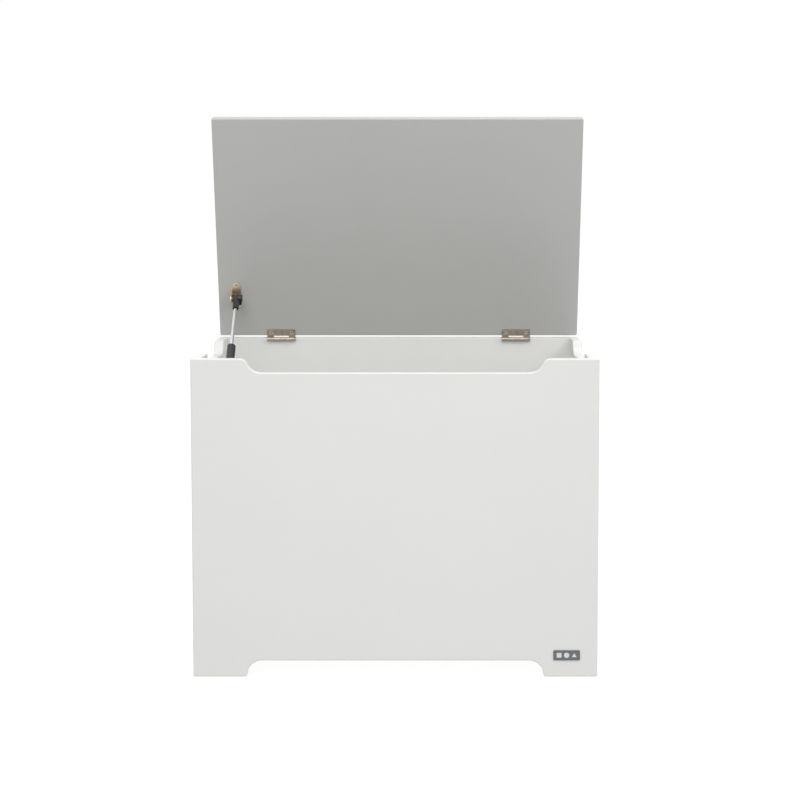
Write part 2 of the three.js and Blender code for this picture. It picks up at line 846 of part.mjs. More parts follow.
function lidBracketParts() {
  const names = ['strut_lid_bracket_upper_screw', 'strut_lid_bracket_lower_screw'];
  const screws = lidBracketScrewPlaces().map(([x, y, z], i) => {
    const screw = bracketScrew(names[i]);
    screw.rotation.x = Math.PI;
    return placed(screw, x, y, z);
  });
  return [lidBracket(), lidBallStud(), ...screws];
}

// Strut. It is drawn hanging down -Z from the lid's ball, and its group leans it forward.

function turnAboutHinge(y, z, angle) {
  const turn = new THREE.Vector3(0, y, z).applyAxisAngle(new THREE.Vector3(1, 0, 0), angle);
  return new THREE.Vector3(0, hingeY + turn.y, hingeZ + turn.z);
}

const upperBall = turnAboutHinge(lidFittingY, lidFittingZ, -lidOpenAngle);
const lowerBall = new THREE.Vector3(
  0,
  upperBall.y - strutLength * Math.sin(strutLean),
  upperBall.z - strutLength * Math.cos(strutLean),
);
const tubeTop = -(rodEndLength + rodExposed);
const tubeBottom = -(strutLength - tubeEndLength);
const glandTop = tubeTop - tubeLipDepth - seatGap;
const pistonTop = glandTop - glandLength - pistonClearance;
const tubeInner = tubeRadius - tubeWall;

// An end fitting: a barrel across the ball with an open socket, and a body along the strut.
function endFitting(name, bodyEnd, holeRadius, holeDepth) {
  const barrelProfile = [
    [0, -headWidth / 2],
    [headRadius - 1, -headWidth / 2],
    [headRadius, -headWidth / 2 + 1],
    [headRadius, headWidth / 2 + headCap - 1],
    [headRadius - 1, headWidth / 2 + headCap],
    [0, headWidth / 2 + headCap],
  ];
  const barrel = pointAlongX(turned(barrelProfile, strutSegments));
  const body = cylinder(fittingBodyRadius, bodyEnd, 0, strutSegments);
  const socket = new THREE.SphereGeometry(ballRadius + socketGap, strutSegments, strutSegments / 2);
  const mouth = pointAlongX(cylinder(socketMouthRadius, -headWidth, 0, strutSegments));
  const cutters = [socket, mouth];
  if (holeDepth > 0) {
    cutters.push(cylinder(holeRadius, bodyEnd - 1, bodyEnd + holeDepth, strutSegments));
  }
  return piece(name, cut(join([barrel, body]), cutters), 'blackNylon');
}

// A spring clip bent round the barrel, open where the fitting's body passes.
function socketClip(name) {
  const inner = headRadius + seatGap;
  const outer = inner + clipThickness;
  const start = -Math.PI / 2 + clipOpening;
  const end = Math.PI * 1.5 - clipOpening;
  const shape = new THREE.Shape();
  shape.absarc(0, 0, outer, start, end, false);
  shape.absarc(0, 0, inner, end, start, true);
  shape.closePath();
  const band = extrudeAlongX(shape, clipWidth, { curveSegments: 10 });
  return piece(name, band.translate(clipCentre - clipWidth / 2, 0, 0), 'blackTube');
}

function rod() {
  const top = -rodEndLength + rodSocketDepth - seatGap;
  const bottom = pistonTop - pistonLength + pistonFloor;
  return piece('strut_rod', cylinder(rodRadius, bottom, top, strutSegments), 'chromedRod');
}

function piston() {
  const radius = tubeInner - boreGap;
  const disc = cylinder(radius, pistonTop - pistonLength, pistonTop, strutSegments);
  const boreFloor = pistonTop - pistonLength + pistonFloor - seatGap;
  const bore = cylinder(rodRadius + boreGap, boreFloor, pistonTop + 1, strutSegments);
  return piece('strut_piston', cut(disc, [bore]), 'blackNylon');
}

function gland() {
  const inner = rodRadius + boreGap;
  const outer = tubeInner - boreGap;
  const ring = turned([
    [inner, glandTop - glandLength],
    [outer, glandTop - glandLength],
    [outer, glandTop],
    [inner, glandTop],
    [inner, glandTop - glandLength],
  ], strutSegments);
  return piece('strut_gland', ring, 'blackNylon');
}

// The tube is a cup with its lip rolled in over the gland.
function tube() {
  const lipInner = rodRadius + 1.2;
  const profile = [
    [0, tubeBottom],
    [tubeRadius - 1, tubeBottom],
    [tubeRadius, tubeBottom + 1],
    [tubeRadius, tubeTop - 1],
    [tubeRadius - 1, tubeTop],
    [lipInner, tubeTop],
    [lipInner, tubeTop - tubeLipDepth],
    [tubeInner, tubeTop - tubeLipDepth],
    [tubeInner, tubeBottom + tubeEndWall],
    [0, tubeBottom + tubeEndWall],
  ];
  return piece('strut_tube', turned(profile, strutSegments), 'blackTube');
}

function sideBallStud() {
  const foot = -strutInset + seatGap + bracketThickness + boreGap;
  const profile = [
    [0, foot],
    [studFootRadius, foot],
    [studFootRadius, foot + studFootHeight],
    ...ballProfile(foot + studFootHeight),
  ];
  return piece('strut_side_ball_stud', pointAlongX(turned(profile, strutSegments)), 'brass');
}

function strut() {
  const group = new THREE.Group();
  group.position.set(strutX, upperBall.y, upperBall.z);
  group.rotation.x = -strutLean;
  const upper = endFitting('strut_rod_end_fitting', -rodEndLength, rodRadius + boreGap, rodSocketDepth);
  const lower = endFitting('strut_tube_end_fitting', -tubeEndLength + seatGap, 0, 0);
  const lowerEnd = new THREE.Group();
  lowerEnd.position.z = -strutLength;
  lowerEnd.rotation.x = Math.PI;
  lowerEnd.add(lower, socketClip('strut_tube_end_clip'), sideBallStud());
  group.add(upper, socketClip('strut_rod_end_clip'), rod(), piston(), gland(), tube(), lowerEnd);
  return group;
}

// The lower bracket is a flat plate on the left side panel, upright and about the lower ball.

function sideBracketScrewPlaces() {
  return [-1, 1].map((end) => [
    -insideX + seatGap + bracketThickness,
    lowerBall.y,
    lowerBall.z + (end * bracketScrewSpread) / 2,
  ]);
}

function sideBracketScrewBores() {
  return sideBracketScrewPlaces().map(([x, y, z]) => pointAlongX(bracketScrewBore())
    .translate(x, y, z));
}

function sideBracket() {
  const plate = bracketPlate(bracketThickness).rotateX(Math.PI / 2).rotateZ(Math.PI / 2);
  plate.translate(-insideX + seatGap, lowerBall.y, lowerBall.z);
  return piece('strut_side_bracket', cut(plate, sideBracketScrewBores()), 'yellowZinc');
}

function sideBracketParts() {
  const names = ['strut_side_bracket_lower_screw', 'strut_side_bracket_upper_screw'];
  const screws = sideBracketScrewPlaces().map(([x, y, z], i) => {
    const screw = bracketScrew(names[i]);
    screw.rotation.y = Math.PI / 2;
    return placed(screw, x, y, z);
  });
  return [sideBracket(), ...screws];
}

// A plain plate low on the front, at the right.
function badge() {
  const shape = roundedRectangle(badgeWidth, badgeHeight, badgeCornerRadius);
  const plate = extrudeAlongMinusY(shape, badgeThickness - 2 * badgeEdge, {
    curveSegments: 3,
    ...roundedEdges(badgeEdge, 1),
  });
  const x = boxWidth / 2 - badgeFromSide - badgeWidth / 2;
  const z = badgeFromFloor + badgeHeight / 2;
  return placed(piece('badge_plate', plate, 'badgeGrey'), x, frontY - seatGap - badgeEdge, z);
}

function lid() {
  const group = new THREE.Group();
  group.position.set(0, hingeY, hingeZ);
  group.rotation.x = -lidOpenAngle;
  group.add(lidPanel(), ...lidHingeParts(), ...lidBracketParts());
  return group;
}

const toyBox = new THREE.Group();
toyBox.add(
  frontPanel(),
  backPanel(),
  sidePanel('left_side_panel', -1),
  sidePanel('right_side_panel', 1),
  basePanel(),
  batten('left_base_batten', -1),
  batten('right_base_batten', 1),
  badge(),
  ...cornerFittings(),
  ...fixedHingeParts(),
  ...sideBracketParts(),
  lid(),
  strut(),
);

export default toyBox;
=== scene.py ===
import json
import math

import bmesh
import bpy
from mathutils import Matrix, Vector


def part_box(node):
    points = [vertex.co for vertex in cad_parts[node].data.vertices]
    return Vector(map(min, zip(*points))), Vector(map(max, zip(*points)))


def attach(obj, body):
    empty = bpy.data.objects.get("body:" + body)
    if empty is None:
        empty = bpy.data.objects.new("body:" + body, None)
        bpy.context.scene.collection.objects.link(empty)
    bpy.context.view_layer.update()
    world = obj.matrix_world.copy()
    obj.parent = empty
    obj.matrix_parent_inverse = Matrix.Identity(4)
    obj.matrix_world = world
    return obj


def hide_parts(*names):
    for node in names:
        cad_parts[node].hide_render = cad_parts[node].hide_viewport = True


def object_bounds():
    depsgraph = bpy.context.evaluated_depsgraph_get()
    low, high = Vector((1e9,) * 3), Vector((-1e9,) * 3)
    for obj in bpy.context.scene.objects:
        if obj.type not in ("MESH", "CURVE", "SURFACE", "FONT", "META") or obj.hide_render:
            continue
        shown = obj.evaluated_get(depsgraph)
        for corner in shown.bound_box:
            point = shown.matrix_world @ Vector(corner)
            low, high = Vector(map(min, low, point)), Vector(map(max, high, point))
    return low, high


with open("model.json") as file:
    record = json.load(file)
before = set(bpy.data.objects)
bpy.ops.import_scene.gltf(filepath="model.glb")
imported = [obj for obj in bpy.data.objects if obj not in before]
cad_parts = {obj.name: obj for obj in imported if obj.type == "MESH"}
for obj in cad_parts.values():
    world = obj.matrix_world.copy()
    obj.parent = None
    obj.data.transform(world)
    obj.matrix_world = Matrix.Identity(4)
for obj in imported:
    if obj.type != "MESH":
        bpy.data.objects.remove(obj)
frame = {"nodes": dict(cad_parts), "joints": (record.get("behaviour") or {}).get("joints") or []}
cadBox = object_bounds()
scene = bpy.context.scene
mm = 0.001
joints = {joint["name"]: joint for joint in frame["joints"]}
print("frame loaded:", len(frame["nodes"]), "nodes")


# Shader maths: a wire is one output of a material's nodes, and sums of wires add Math nodes.

class Wire:
    def __init__(self, tree, socket):
        self.tree = tree
        self.socket = socket

    # Settings are set first, since some of them decide which sockets there are.
    def node(self, kind, settings={}, inputs={}, output=0):
        made = self.tree.nodes.new(kind)
        for name, value in settings.items():
            setattr(made, name, value)
        for name, value in inputs.items():
            if isinstance(value, Wire):
                self.tree.links.new(value.socket, made.inputs[name])
            else:
                made.inputs[name].default_value = value
        return Wire(self.tree, made.outputs[output])

    def maths(self, operation, *values):
        return self.node("ShaderNodeMath", {"operation": operation}, dict(enumerate(values)))

    def __add__(self, other):
        return self.maths("ADD", self, other)

    def __sub__(self, other):
        return self.maths("SUBTRACT", self, other)

    def __mul__(self, other):
        return self.maths("MULTIPLY", self, other)

    def __radd__(self, other):
        return self.maths("ADD", other, self)

    def __rsub__(self, other):
        return self.maths("SUBTRACT", other, self)

    def __rmul__(self, other):
        return self.maths("MULTIPLY", other, self)

    def noise(self, scale, detail=3.0, rough=0.5):
        return self.node("ShaderNodeTexNoise", {}, {
            "Vector": self, "Scale": scale, "Detail": detail, "Roughness": rough,
        })

    def stretched(self, x, y, z):
        return self.node("ShaderNodeVectorMath", {"operation": "MULTIPLY"}, {0: self, 1: (x, y, z)})

    # 0 below low and 1 above high, with a smooth rise between them.
    def rise(self, low, high):
        return self.node("ShaderNodeMapRange", {"interpolation_type": "SMOOTHSTEP"}, {
            "Value": self, "From Min": low, "From Max": high,
        })

    # Mixes two colours by this wire; each is a colour or a wire.
    def between(self, first, second):
        colours = [c if isinstance(c, Wire) else (*c, 1) for c in (first, second)]
        return self.node("ShaderNodeMix", {"data_type": "RGBA"}, {
            "Factor": self, 6: colours[0], 7: colours[1],
        }, output=2)

    def bump(self, height, distance, strength=1.0):
        return self.node("ShaderNodeBump", {}, {
            "Height": height, "Distance": distance, "Strength": strength,
        })


# A material is one Principled shader. The recipe gets the surface's own coordinates in metres
# and gives back the values and the wires of the shader's sockets.
def finish(name, recipe):
    material = bpy.data.materials.new(name)
    material.use_nodes = True
    tree = material.node_tree
    shader = tree.nodes["Principled BSDF"]
    place = Wire(tree, tree.nodes.new("ShaderNodeTexCoord").outputs["Object"])
    for socket, value in recipe(place).items():
        if isinstance(value, Wire):
            tree.links.new(value.socket, shader.inputs[socket])
        else:
            shader.inputs[socket].default_value = value
    return material


# Sprayed satin lacquer: a faint orange peel, slow drifts of tone and gloss, and a little dust.
def lacquer(pale, deep, gloss, peel):
    def recipe(place):
        drift = place.noise(5.0, 2.0)
        cloud = place.noise(38.0, 4.0, 0.6)
        speck = place.noise(2400.0, 1.0).rise(0.66, 0.78)
        tone = (drift * 0.6 + cloud * 0.4).between(deep, pale)
        skin = place.noise(900.0, 2.0) * 0.8 + place.noise(160.0, 2.0) * 0.2 + speck * 0.4
        return {
            "Base Color": (speck * 0.1).between(tone, tuple(0.8 * c for c in deep)),
            "Roughness": gloss + cloud * 0.1 - drift * 0.04,
            "Specular IOR Level": 0.5,
            "Normal": place.bump(skin, peel),
        }
    return recipe


def rawPine(place):
    grain = place.stretched(26, 1.6, 26).noise(9.0, 5.0, 0.6)
    rings = place.node("ShaderNodeTexWave", {
        "wave_type": "RINGS", "rings_direction": "Y",
    }, {"Vector": place.stretched(1, 0.12, 1), "Scale": 70.0, "Distortion": 3.0, "Detail": 2.0}, 1)
    pores = place.stretched(1, 0.03, 1).noise(2600.0, 1.0).rise(0.58, 0.72)
    wood = (grain * 0.55 + rings * 0.45).between((0.46, 0.29, 0.13), (0.72, 0.53, 0.31))
    return {
        "Base Color": (pores * 0.35).between(wood, (0.3, 0.18, 0.08)),
        "Roughness": 0.66 + grain * 0.16,
        "Normal": place.bump(grain * 0.7 - pores * 0.5, 0.0002),
    }


def beech(place):
    flecks = place.stretched(1, 0.12, 1).noise(900.0, 2.0).rise(0.5, 0.66)
    grain = place.stretched(1, 0.08, 1).noise(240.0, 4.0)
    wood = grain.between((0.6, 0.4, 0.2), (0.78, 0.59, 0.35))
    return {
        "Base Color": (flecks * 0.4).between(wood, (0.42, 0.25, 0.11)),
        "Roughness": 0.58 + grain * 0.15,
        "Normal": place.bump(grain, 0.00015),
    }


# Antique bronze plating: brushed along the leaf, with a darker patina in blotches.
def antiqueBronze(place):
    brushed = place.stretched(0.06, 1, 1).noise(2800.0, 2.0)
    patina = place.noise(260.0, 4.0, 0.65).rise(0.42, 0.68)
    fine = place.noise(1500.0, 2.0)
    metal = brushed.between((0.5, 0.435, 0.355), (0.66, 0.59, 0.5))
    return {
        "Base Color": (patina * 0.5).between(metal, (0.22, 0.175, 0.14)),
        "Metallic": 0.9,
        "Roughness": 0.34 + patina * 0.14 + fine * 0.08,
        "Normal": place.bump(brushed * 0.7 + fine * 0.3, 0.00005),
    }


# A screw's plating, worn pale on the rim of the head, with painted shade near black down in the
# recess.
def wornScrewWithPaintedRecessShade(dull, pale):
    def recipe(place):
        wear = place.noise(700.0, 3.0, 0.6)
        down = place.node("ShaderNodeSeparateXYZ", {}, {0: place}, 2)
        return {
            # Painted shade: deeper than 0.8 mm, down in the cross recess, the colour goes near
            # black and barely metallic.
            "Base Color": down.rise(-0.0008, -0.0003).between((0.03, 0.025, 0.02),
                                                            wear.between(dull, pale)),
            "Metallic": down.rise(-0.0008, -0.0003) * 0.75 + 0.1,
            "Roughness": 0.36 + wear * 0.15,
            "Normal": place.bump(wear, 0.00004),
        }
    return recipe


# Powder coat: a tight pebble with small glints.
def blackCoat(place):
    pebble = place.noise(1700.0, 2.0)
    cloud = place.noise(60.0, 3.0)
    return {
        "Base Color": cloud.between((0.013, 0.013, 0.015), (0.026, 0.026, 0.029)),
        "Roughness": 0.18 + pebble * 0.12,
        "Specular IOR Level": 0.6,
        "Normal": place.bump(pebble, 0.00003),
    }


# Hard chrome: ground round the rod, and a light film of oil wiped along it.
def chrome(place):
    ground = place.stretched(0.05, 0.05, 1).noise(5200.0, 2.0)
    film = place.stretched(1, 1, 0.15).noise(130.0, 3.0)
    return {
        "Base Color": film.between((0.72, 0.74, 0.77), (0.86, 0.87, 0.88)),
        "Metallic": 1.0,
        "Roughness": 0.07 + film * 0.07 + ground * 0.03,
        "Normal": place.bump(ground, 0.000012),
    }


# Moulded nylon: matt, with a spark-eroded grain and paler scuffs.
def blackNylon(place):
    grain = place.noise(2100.0, 3.0, 0.6)
    scuff = place.stretched(1, 1, 0.3).noise(210.0, 4.0).rise(0.6, 0.8)
    return {
        "Base Color": (scuff * 0.4).between((0.022, 0.022, 0.024), (0.07, 0.07, 0.073)),
        "Roughness": 0.42 + grain * 0.2,
        "Normal": place.bump(grain, 0.00006),
    }


# Zinc plating, passivated: yellow with pink and green hazes, or clear and bluish.
def zinc(base, hazes, gloss):
    def recipe(place):
        haze = place.noise(90.0, 3.0, 0.6)
        second = place.noise(150.0, 2.0)
        spangle = place.noise(1300.0, 2.0)
        tinted = haze.rise(0.35, 0.65).between(base, hazes[0])
        return {
            "Base Color": second.rise(0.5, 0.75).between(tinted, hazes[1]),
            "Metallic": 0.95,
            "Roughness": gloss + spangle * 0.12,
            "Normal": place.bump(spangle, 0.00004),
        }
    return recipe


def brassBall(place):
    tarnish = place.noise(300.0, 3.0, 0.6).rise(0.45, 0.75)
    lathe = place.stretched(1, 0.1, 0.1).noise(4200.0, 1.0)
    return {
        "Base Color": (tarnish * 0.5).between((0.68, 0.46, 0.18), (0.36, 0.24, 0.1)),
        "Metallic": 1.0,
        "Roughness": 0.2 + tarnish * 0.2 + lathe * 0.05,
        "Normal": place.bump(lathe, 0.00002),
    }


def badgeGrey(place):
    cloud = place.noise(120.0, 3.0)
    grain = place.noise(1900.0, 2.0)
    return {
        "Base Color": cloud.between((0.125, 0.13, 0.14), (0.16, 0.165, 0.176)),
        "Roughness": 0.38 + grain * 0.16,
        "Normal": place.bump(grain, 0.00005),
    }


# Screen-printed ink, thinner in places.
def paleInk(place):
    film = place.noise(900.0, 3.0, 0.6)
    return {
        "Base Color": film.between((0.6, 0.61, 0.63), (0.78, 0.785, 0.8)),
        "Roughness": 0.5 + film * 0.12,
        "Normal": place.bump(film, 0.00003),
    }


def paleFloor(place):
    soft = place.noise(1.3, 3.0)
    return {
        "Base Color": soft.between((0.14, 0.14, 0.14), (0.17, 0.17, 0.17)),
        "Roughness": 0.85 + soft * 0.1,
        "Emission Color": soft.between((0.99, 0.99, 0.99), (1, 1, 1)),
        "Emission Strength": 0.9,
    }


finishes = {
    "white_lacquer": lacquer((0.79, 0.79, 0.775), (0.755, 0.755, 0.74), 0.34, 0.00006),
    "grey_lacquer": lacquer((0.505, 0.508, 0.495), (0.473, 0.475, 0.46), 0.3, 0.00005),
    "raw_board": rawPine,
    "hinge_bronze": antiqueBronze,
    "bronze_screw": wornScrewWithPaintedRecessShade((0.8, 0.72, 0.6), (0.95, 0.89, 0.78)),
    "zinc_screw": wornScrewWithPaintedRecessShade((0.62, 0.63, 0.65), (0.78, 0.79, 0.81)),
    "black_tube": blackCoat,
    "chromed_rod": chrome,
    "black_nylon": blackNylon,
    "yellow_zinc": zinc((0.72, 0.58, 0.38), ((0.66, 0.47, 0.36), (0.56, 0.55, 0.36)), 0.3),
    "brass": brassBall,
    "bright_zinc": zinc((0.6, 0.62, 0.66), ((0.52, 0.56, 0.64), (0.64, 0.64, 0.6)), 0.24),
    "dowel_wood": beech,
    "badge_grey": badgeGrey,
    "pale_ink": paleInk,
    "pale_floor": paleFloor,
}
materials = {name: finish(name, recipe) for name, recipe in finishes.items()}
print("materials made:", len(materials))


# Mesh tools. Pieces are drawn in millimetres in a frame of their own, and a matrix puts them in
# the box's frame.

def prism(outline, low, high, holes=()):
    mesh = bmesh.new()
    for ring in (outline, *holes):
        corners = [mesh.verts.new((u, v, low)) for u, v in ring]
        for first, second in zip(corners, corners[1:] + corners[:1]):
            mesh.edges.new((first, second))
    bmesh.ops.triangle_fill(mesh, edges=mesh.edges[:], use_beauty=True, use_dissolve=True)
    made = bmesh.ops.extrude_face_region(mesh, geom=mesh.faces[:])
    lifted = [part for part in made["geom"] if isinstance(part, bmesh.types.BMVert)]
    bmesh.ops.translate(mesh, verts=lifted, vec=(0, 0, high - low))
    bmesh.ops.recalc_face_normals(mesh, faces=mesh.faces[:])
    return mesh


# A profile of (radius, height) turned about Z. It starts and ends on the axis, or closes on itself.
def turned(profile, sides=48):
    mesh = bmesh.new()
    closed = profile[0] == profile[-1]
    rings = []
    for radius, height in (profile[:-1] if closed else profile):
        if radius == 0:
            rings.append([mesh.verts.new((0, 0, height))] * sides)
        else:
            angles = [2 * math.pi * i / sides for i in range(sides)]
            rings.append([mesh.verts.new((radius * math.cos(a), radius * math.sin(a), height))
                          for a in angles])
    for k in range(len(rings) if closed else len(rings) - 1):
        first, second = rings[k], rings[(k + 1) % len(rings)]
        for i in range(sides):
            j = (i + 1) % sides
            corners = list(dict.fromkeys([first[i], first[j], second[j], second[i]]))
            if len(corners) > 2:
                mesh.faces.new(corners)
    bmesh.ops.recalc_face_normals(mesh, faces=mesh.faces[:])
    return mesh


def block(low, high):
    outline = [(low[0], low[1]), (high[0], low[1]), (high[0], high[1]), (low[0], high[1])]
    return prism(outline, low[2], high[2])


def moved(mesh, matrix):
    bmesh.ops.transform(mesh, matrix=matrix, verts=mesh.verts[:])
    if matrix.determinant() < 0:
        bmesh.ops.reverse_faces(mesh, faces=mesh.faces[:])
    return mesh


def at(x, y, z):
    return Matrix.Translation((x, y, z))


def turn(degrees, axis):
    return Matrix.Rotation(math.radians(degrees), 4, axis)


# Stands a flat drawing up so that its width runs along Y, its height along Z and its depth along X.
def toSideways(x=0, y=0, z=0):
    return Matrix(((0, 0, 1, x), (1, 0, 0, y), (0, 1, 0, z), (0, 0, 0, 1)))


# Rounds every edge sharper than 30 degrees.
def rounded(mesh, radius, steps=3):
    bmesh.ops.remove_doubles(mesh, verts=mesh.verts[:], dist=0.001)
    sharp = [e for e in mesh.edges if len(e.link_faces) == 2
             and e.calc_face_angle() > math.radians(30)]
    bmesh.ops.bevel(mesh, geom=sharp, offset=radius, segments=steps, profile=0.5,
                    affect="EDGES", clamp_overlap=True)
    return mesh


def combined(meshes):
    whole = bmesh.new()
    for mesh in meshes:
        data = bpy.data.meshes.new("part")
        mesh.to_mesh(data)
        whole.from_mesh(data)
        bpy.data.meshes.remove(data)
        mesh.free()
    return whole


def scratchObject(mesh):
    data = bpy.data.meshes.new("scratch")
    mesh.to_mesh(data)
    mesh.free()
    made = bpy.data.objects.new("scratch", data)
    scene.collection.objects.link(made)
    return made


# Adds modifiers to a mesh one after another, and gives back the result.
def modified(mesh, *modifiers):
    made = scratchObject(mesh)
    for kind, settings in modifiers:
        modifier = made.modifiers.new(kind, kind)
        for name, value in settings.items():
            setattr(modifier, name, value)
    evaluated = made.evaluated_get(bpy.context.evaluated_depsgraph_get())
    result = bmesh.new()
    result.from_mesh(evaluated.to_mesh())
    evaluated.to_mesh_clear()
    data = made.data
    bpy.data.objects.remove(made)
    bpy.data.meshes.remove(data)
    return result


def solidMaths(mesh, others, operation):
    for other in others:
        tool = scratchObject(other)
        mesh = modified(mesh, ("BOOLEAN", {
            "operation": operation, "object": tool, "solver": "EXACT",
        }))
        data = tool.data
        bpy.data.objects.remove(tool)
        bpy.data.meshes.remove(data)
    return mesh


# Breaks the sharp edges of sheet metal.
def softened(mesh, width):
    return modified(mesh, ("BEVEL", {
        "width": width, "segments": 2, "limit_method": "ANGLE", "angle_limit": math.radians(50),
        "use_clamp_overlap": True,
    }))


def carved(mesh, cutters):
    return solidMaths(mesh, cutters, "DIFFERENCE")


def fused(mesh, others):
    return solidMaths(mesh, others, "UNION")


# Makes the piece from a mesh in millimetres. It stands for the CAD node that it is named for.
def piece(name, mesh, place, body, slot, paint=None, extra=()):
    data = bpy.data.meshes.new(name)
    bmesh.ops.remove_doubles(mesh, verts=mesh.verts[:], dist=0.0005)
    bmesh.ops.scale(mesh, vec=(mm, mm, mm), verts=mesh.verts[:])
    mesh.to_mesh(data)
    mesh.free()
    for material in (paint or slot, *extra):
        data.materials.append(materials[material])
    made = bpy.data.objects.new(name, data)
    scene.collection.objects.link(made)
    made.matrix_world = place
    data.polygons.foreach_set("use_smooth", [True] * len(data.polygons))
    data.set_sharp_from_angle(angle=math.radians(32))
    weighted = made.modifiers.new("evenShading", "WEIGHTED_NORMAL")
    weighted.keep_sharp = True
    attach(made, body)
    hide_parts(name)
    return made


def arc(centre, radius, start, end, steps):
    points = []
    for i in range(steps + 1):
        angle = math.radians(start + (end - start) * i / steps)
        points.append((centre[0] + radius * math.cos(angle), centre[1] + radius * math.sin(angle)))
    return points


def roundedRectangle(width, height, radius, steps=8):
    x, y = width / 2 - radius, height / 2 - radius
    return (arc((x, y), radius, 0, 90, steps) + arc((-x, y), radius, 90, 180, steps)
            + arc((-x, -y), radius, 180, 270, steps) + arc((x, -y), radius, 270, 360, steps))


# Frames. Millimetres to metres is left to piece(), so these are in metres.

def middle(node):
    low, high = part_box(node)
    return (low + high) / 2


lidAngle = joints["lid_hinge"]["range_deg"][1]
hingePoint = Vector(joints["lid_hinge"]["pos_m"])
lidFrame = Matrix.Translation(hingePoint) @ turn(-lidAngle, "X")  # the lid closed lies along -Y
upperBall = Vector(joints["strut_pivot"]["pos_m"])
slideAxis = Vector(joints["strut_slide"]["axis"])
strutLean = math.degrees(math.atan2(slideAxis.y, slideAxis.z))
strutFrame = Matrix.Translation(upperBall) @ turn(-strutLean, "X")  # the strut hangs down -Z
lowerBall = middle("strut_side_bracket")
lowerBall.x = upperBall.x
lowerFrame = Matrix.Translation(lowerBall) @ turn(180 - strutLean, "X")


# A CAD node's lowest and highest corners in one of these frames, in millimetres.
def span(node, place):
    inverse = place.inverted()
    points = [inverse @ v.co for v in frame["nodes"][node].data.vertices]
    return [Vector([pick(p[i] for p in points) / mm for i in range(3)]) for pick in (min, max)]


# Boards.
boards = {
    "edge": 2.0,
    "edgeSteps": 4,
    "scoop": {"rise": 22, "wing": 12.5, "rim": 22.5},
    "arch": {"rise": 26, "foot": 3, "crown": 24},
    "foot": 82,
    "frontWing": 77,
    "sideFrontWing": 88,
    "sideRearWing": 70,
    "arcSteps": 14,
}


# Two tangent arcs that climb by rise: the first leaves the level, the second meets the next one.
def step(rise, first, last):
    count = boards["arcSteps"]
    angle = math.acos(1 - rise / (first + last))
    width = (first + last) * math.sin(angle)
    points = []
    for i in range(count + 1):
        a = angle * i / count
        points.append((first * math.sin(a), first * (1 - math.cos(a))))
    for i in range(1, count + 1):
        a = angle * (1 - i / count)
        points.append((width - last * math.sin(a), rise - last * (1 - math.cos(a))))
    return points, width


# A board's outline from one end to the other. A wing of None leaves the top straight.
def boardOutline(length, height, startFoot, endFoot, startWing, endWing):
    arch, scoop = boards["arch"], boards["scoop"]
    up, archWidth = step(arch["rise"], arch["foot"], arch["crown"])
    outline = [(0, 0)]
    outline += [(startFoot + x, y) for x, y in up]
    outline += [(length - endFoot - x, y) for x, y in reversed(up)]
    outline += [(length, 0), (length, height)]
    if startWing is not None:
        down, scoopWidth = step(scoop["rise"], scoop["wing"], scoop["rim"])
        outline += [(length - endWing - x, height - y) for x, y in down]
        outline += [(startWing + x, height - y) for x, y in reversed(down)]
    outline.append((0, height))
    return outline


# Fittings' sizes that the boards' bores share.
fittings = {
    "camRadius": 7.5,
    "camDepth": 12,
    "boltInBoard": 10,
    "boltTunnel": 4,  # radius of the bore from the side's end to the cam
    "thread": {"core": 1.7, "crest": 2.4, "pitch": 1.5},
    "boltPilot": 2.7,  # radius of the bore that the bolt's thread is driven into
    "slotTurn": 12,
    "dowelRadius": 4,
    "flutes": 12,
    "fluteDepth": 0.28,
    "spare": 0.3,
}
hinge = {
    "radius": 3,
    "pin": 1.4,
    "thick": 1.2,
    "wrap": 292,  # degrees that a tab is rolled round the pin
    "wrapSteps": 26,
    "edge": 0.14,
    "notch": 2.8,
    "endKnuckle": 12,
    "gap": 0.3,
    "corner": 1.5,
    "screwSpread": 35.5,
    "lidScrew": 11.5,
    "backScrew": 9.5,
    "holeSpare": 0.25,
    "screw": {"length": 13, "radius": 1.5, "head": 3.1, "headHeight": 1.8, "pitch": 1.1},
}
bracket = {
    "thick": 1.5,
    "width": 16.5,
    "length": 48,
    "screwSpread": 38,
    "bend": 1.0,
    "edge": 0.2,
    "studHole": 2.5,
    "earBase": 26,
    "earTip": 6.5,
    "holeSpare": 0.15,
    "screw": {"length": 12, "radius": 1.75, "head": 3.4, "headHeight": 2, "pitch": 1.2},
}


# The room of a countersunk screw that points down -Z from its head's flat top.
def screwRoom(screw, spare=0.3):
    return turned([
        (0, -screw["length"] - spare),
        (screw["radius"] + spare, -screw["length"] + 2.5),
        (screw["radius"] + spare, -screw["headHeight"]),
        (screw["head"] + spare, 0),
        (screw["head"] + spare, 3),
        (0, 3),
    ], 32)


cornerNames = [("front", "left"), ("front", "right"), ("back", "left"), ("back", "right")]
camNames = [f"{end}_{side}_{level}_cam_lock" for end, side in cornerNames
            for level in ("lower", "upper")]
boltNames = [name.replace("lock", "bolt") for name in camNames]
dowelNames = [f"{end}_{side}_dowel" for end, side in cornerNames]
toMetres = Matrix.Scale(mm, 4)
toMillimetres = Matrix.Scale(1 / mm, 4)


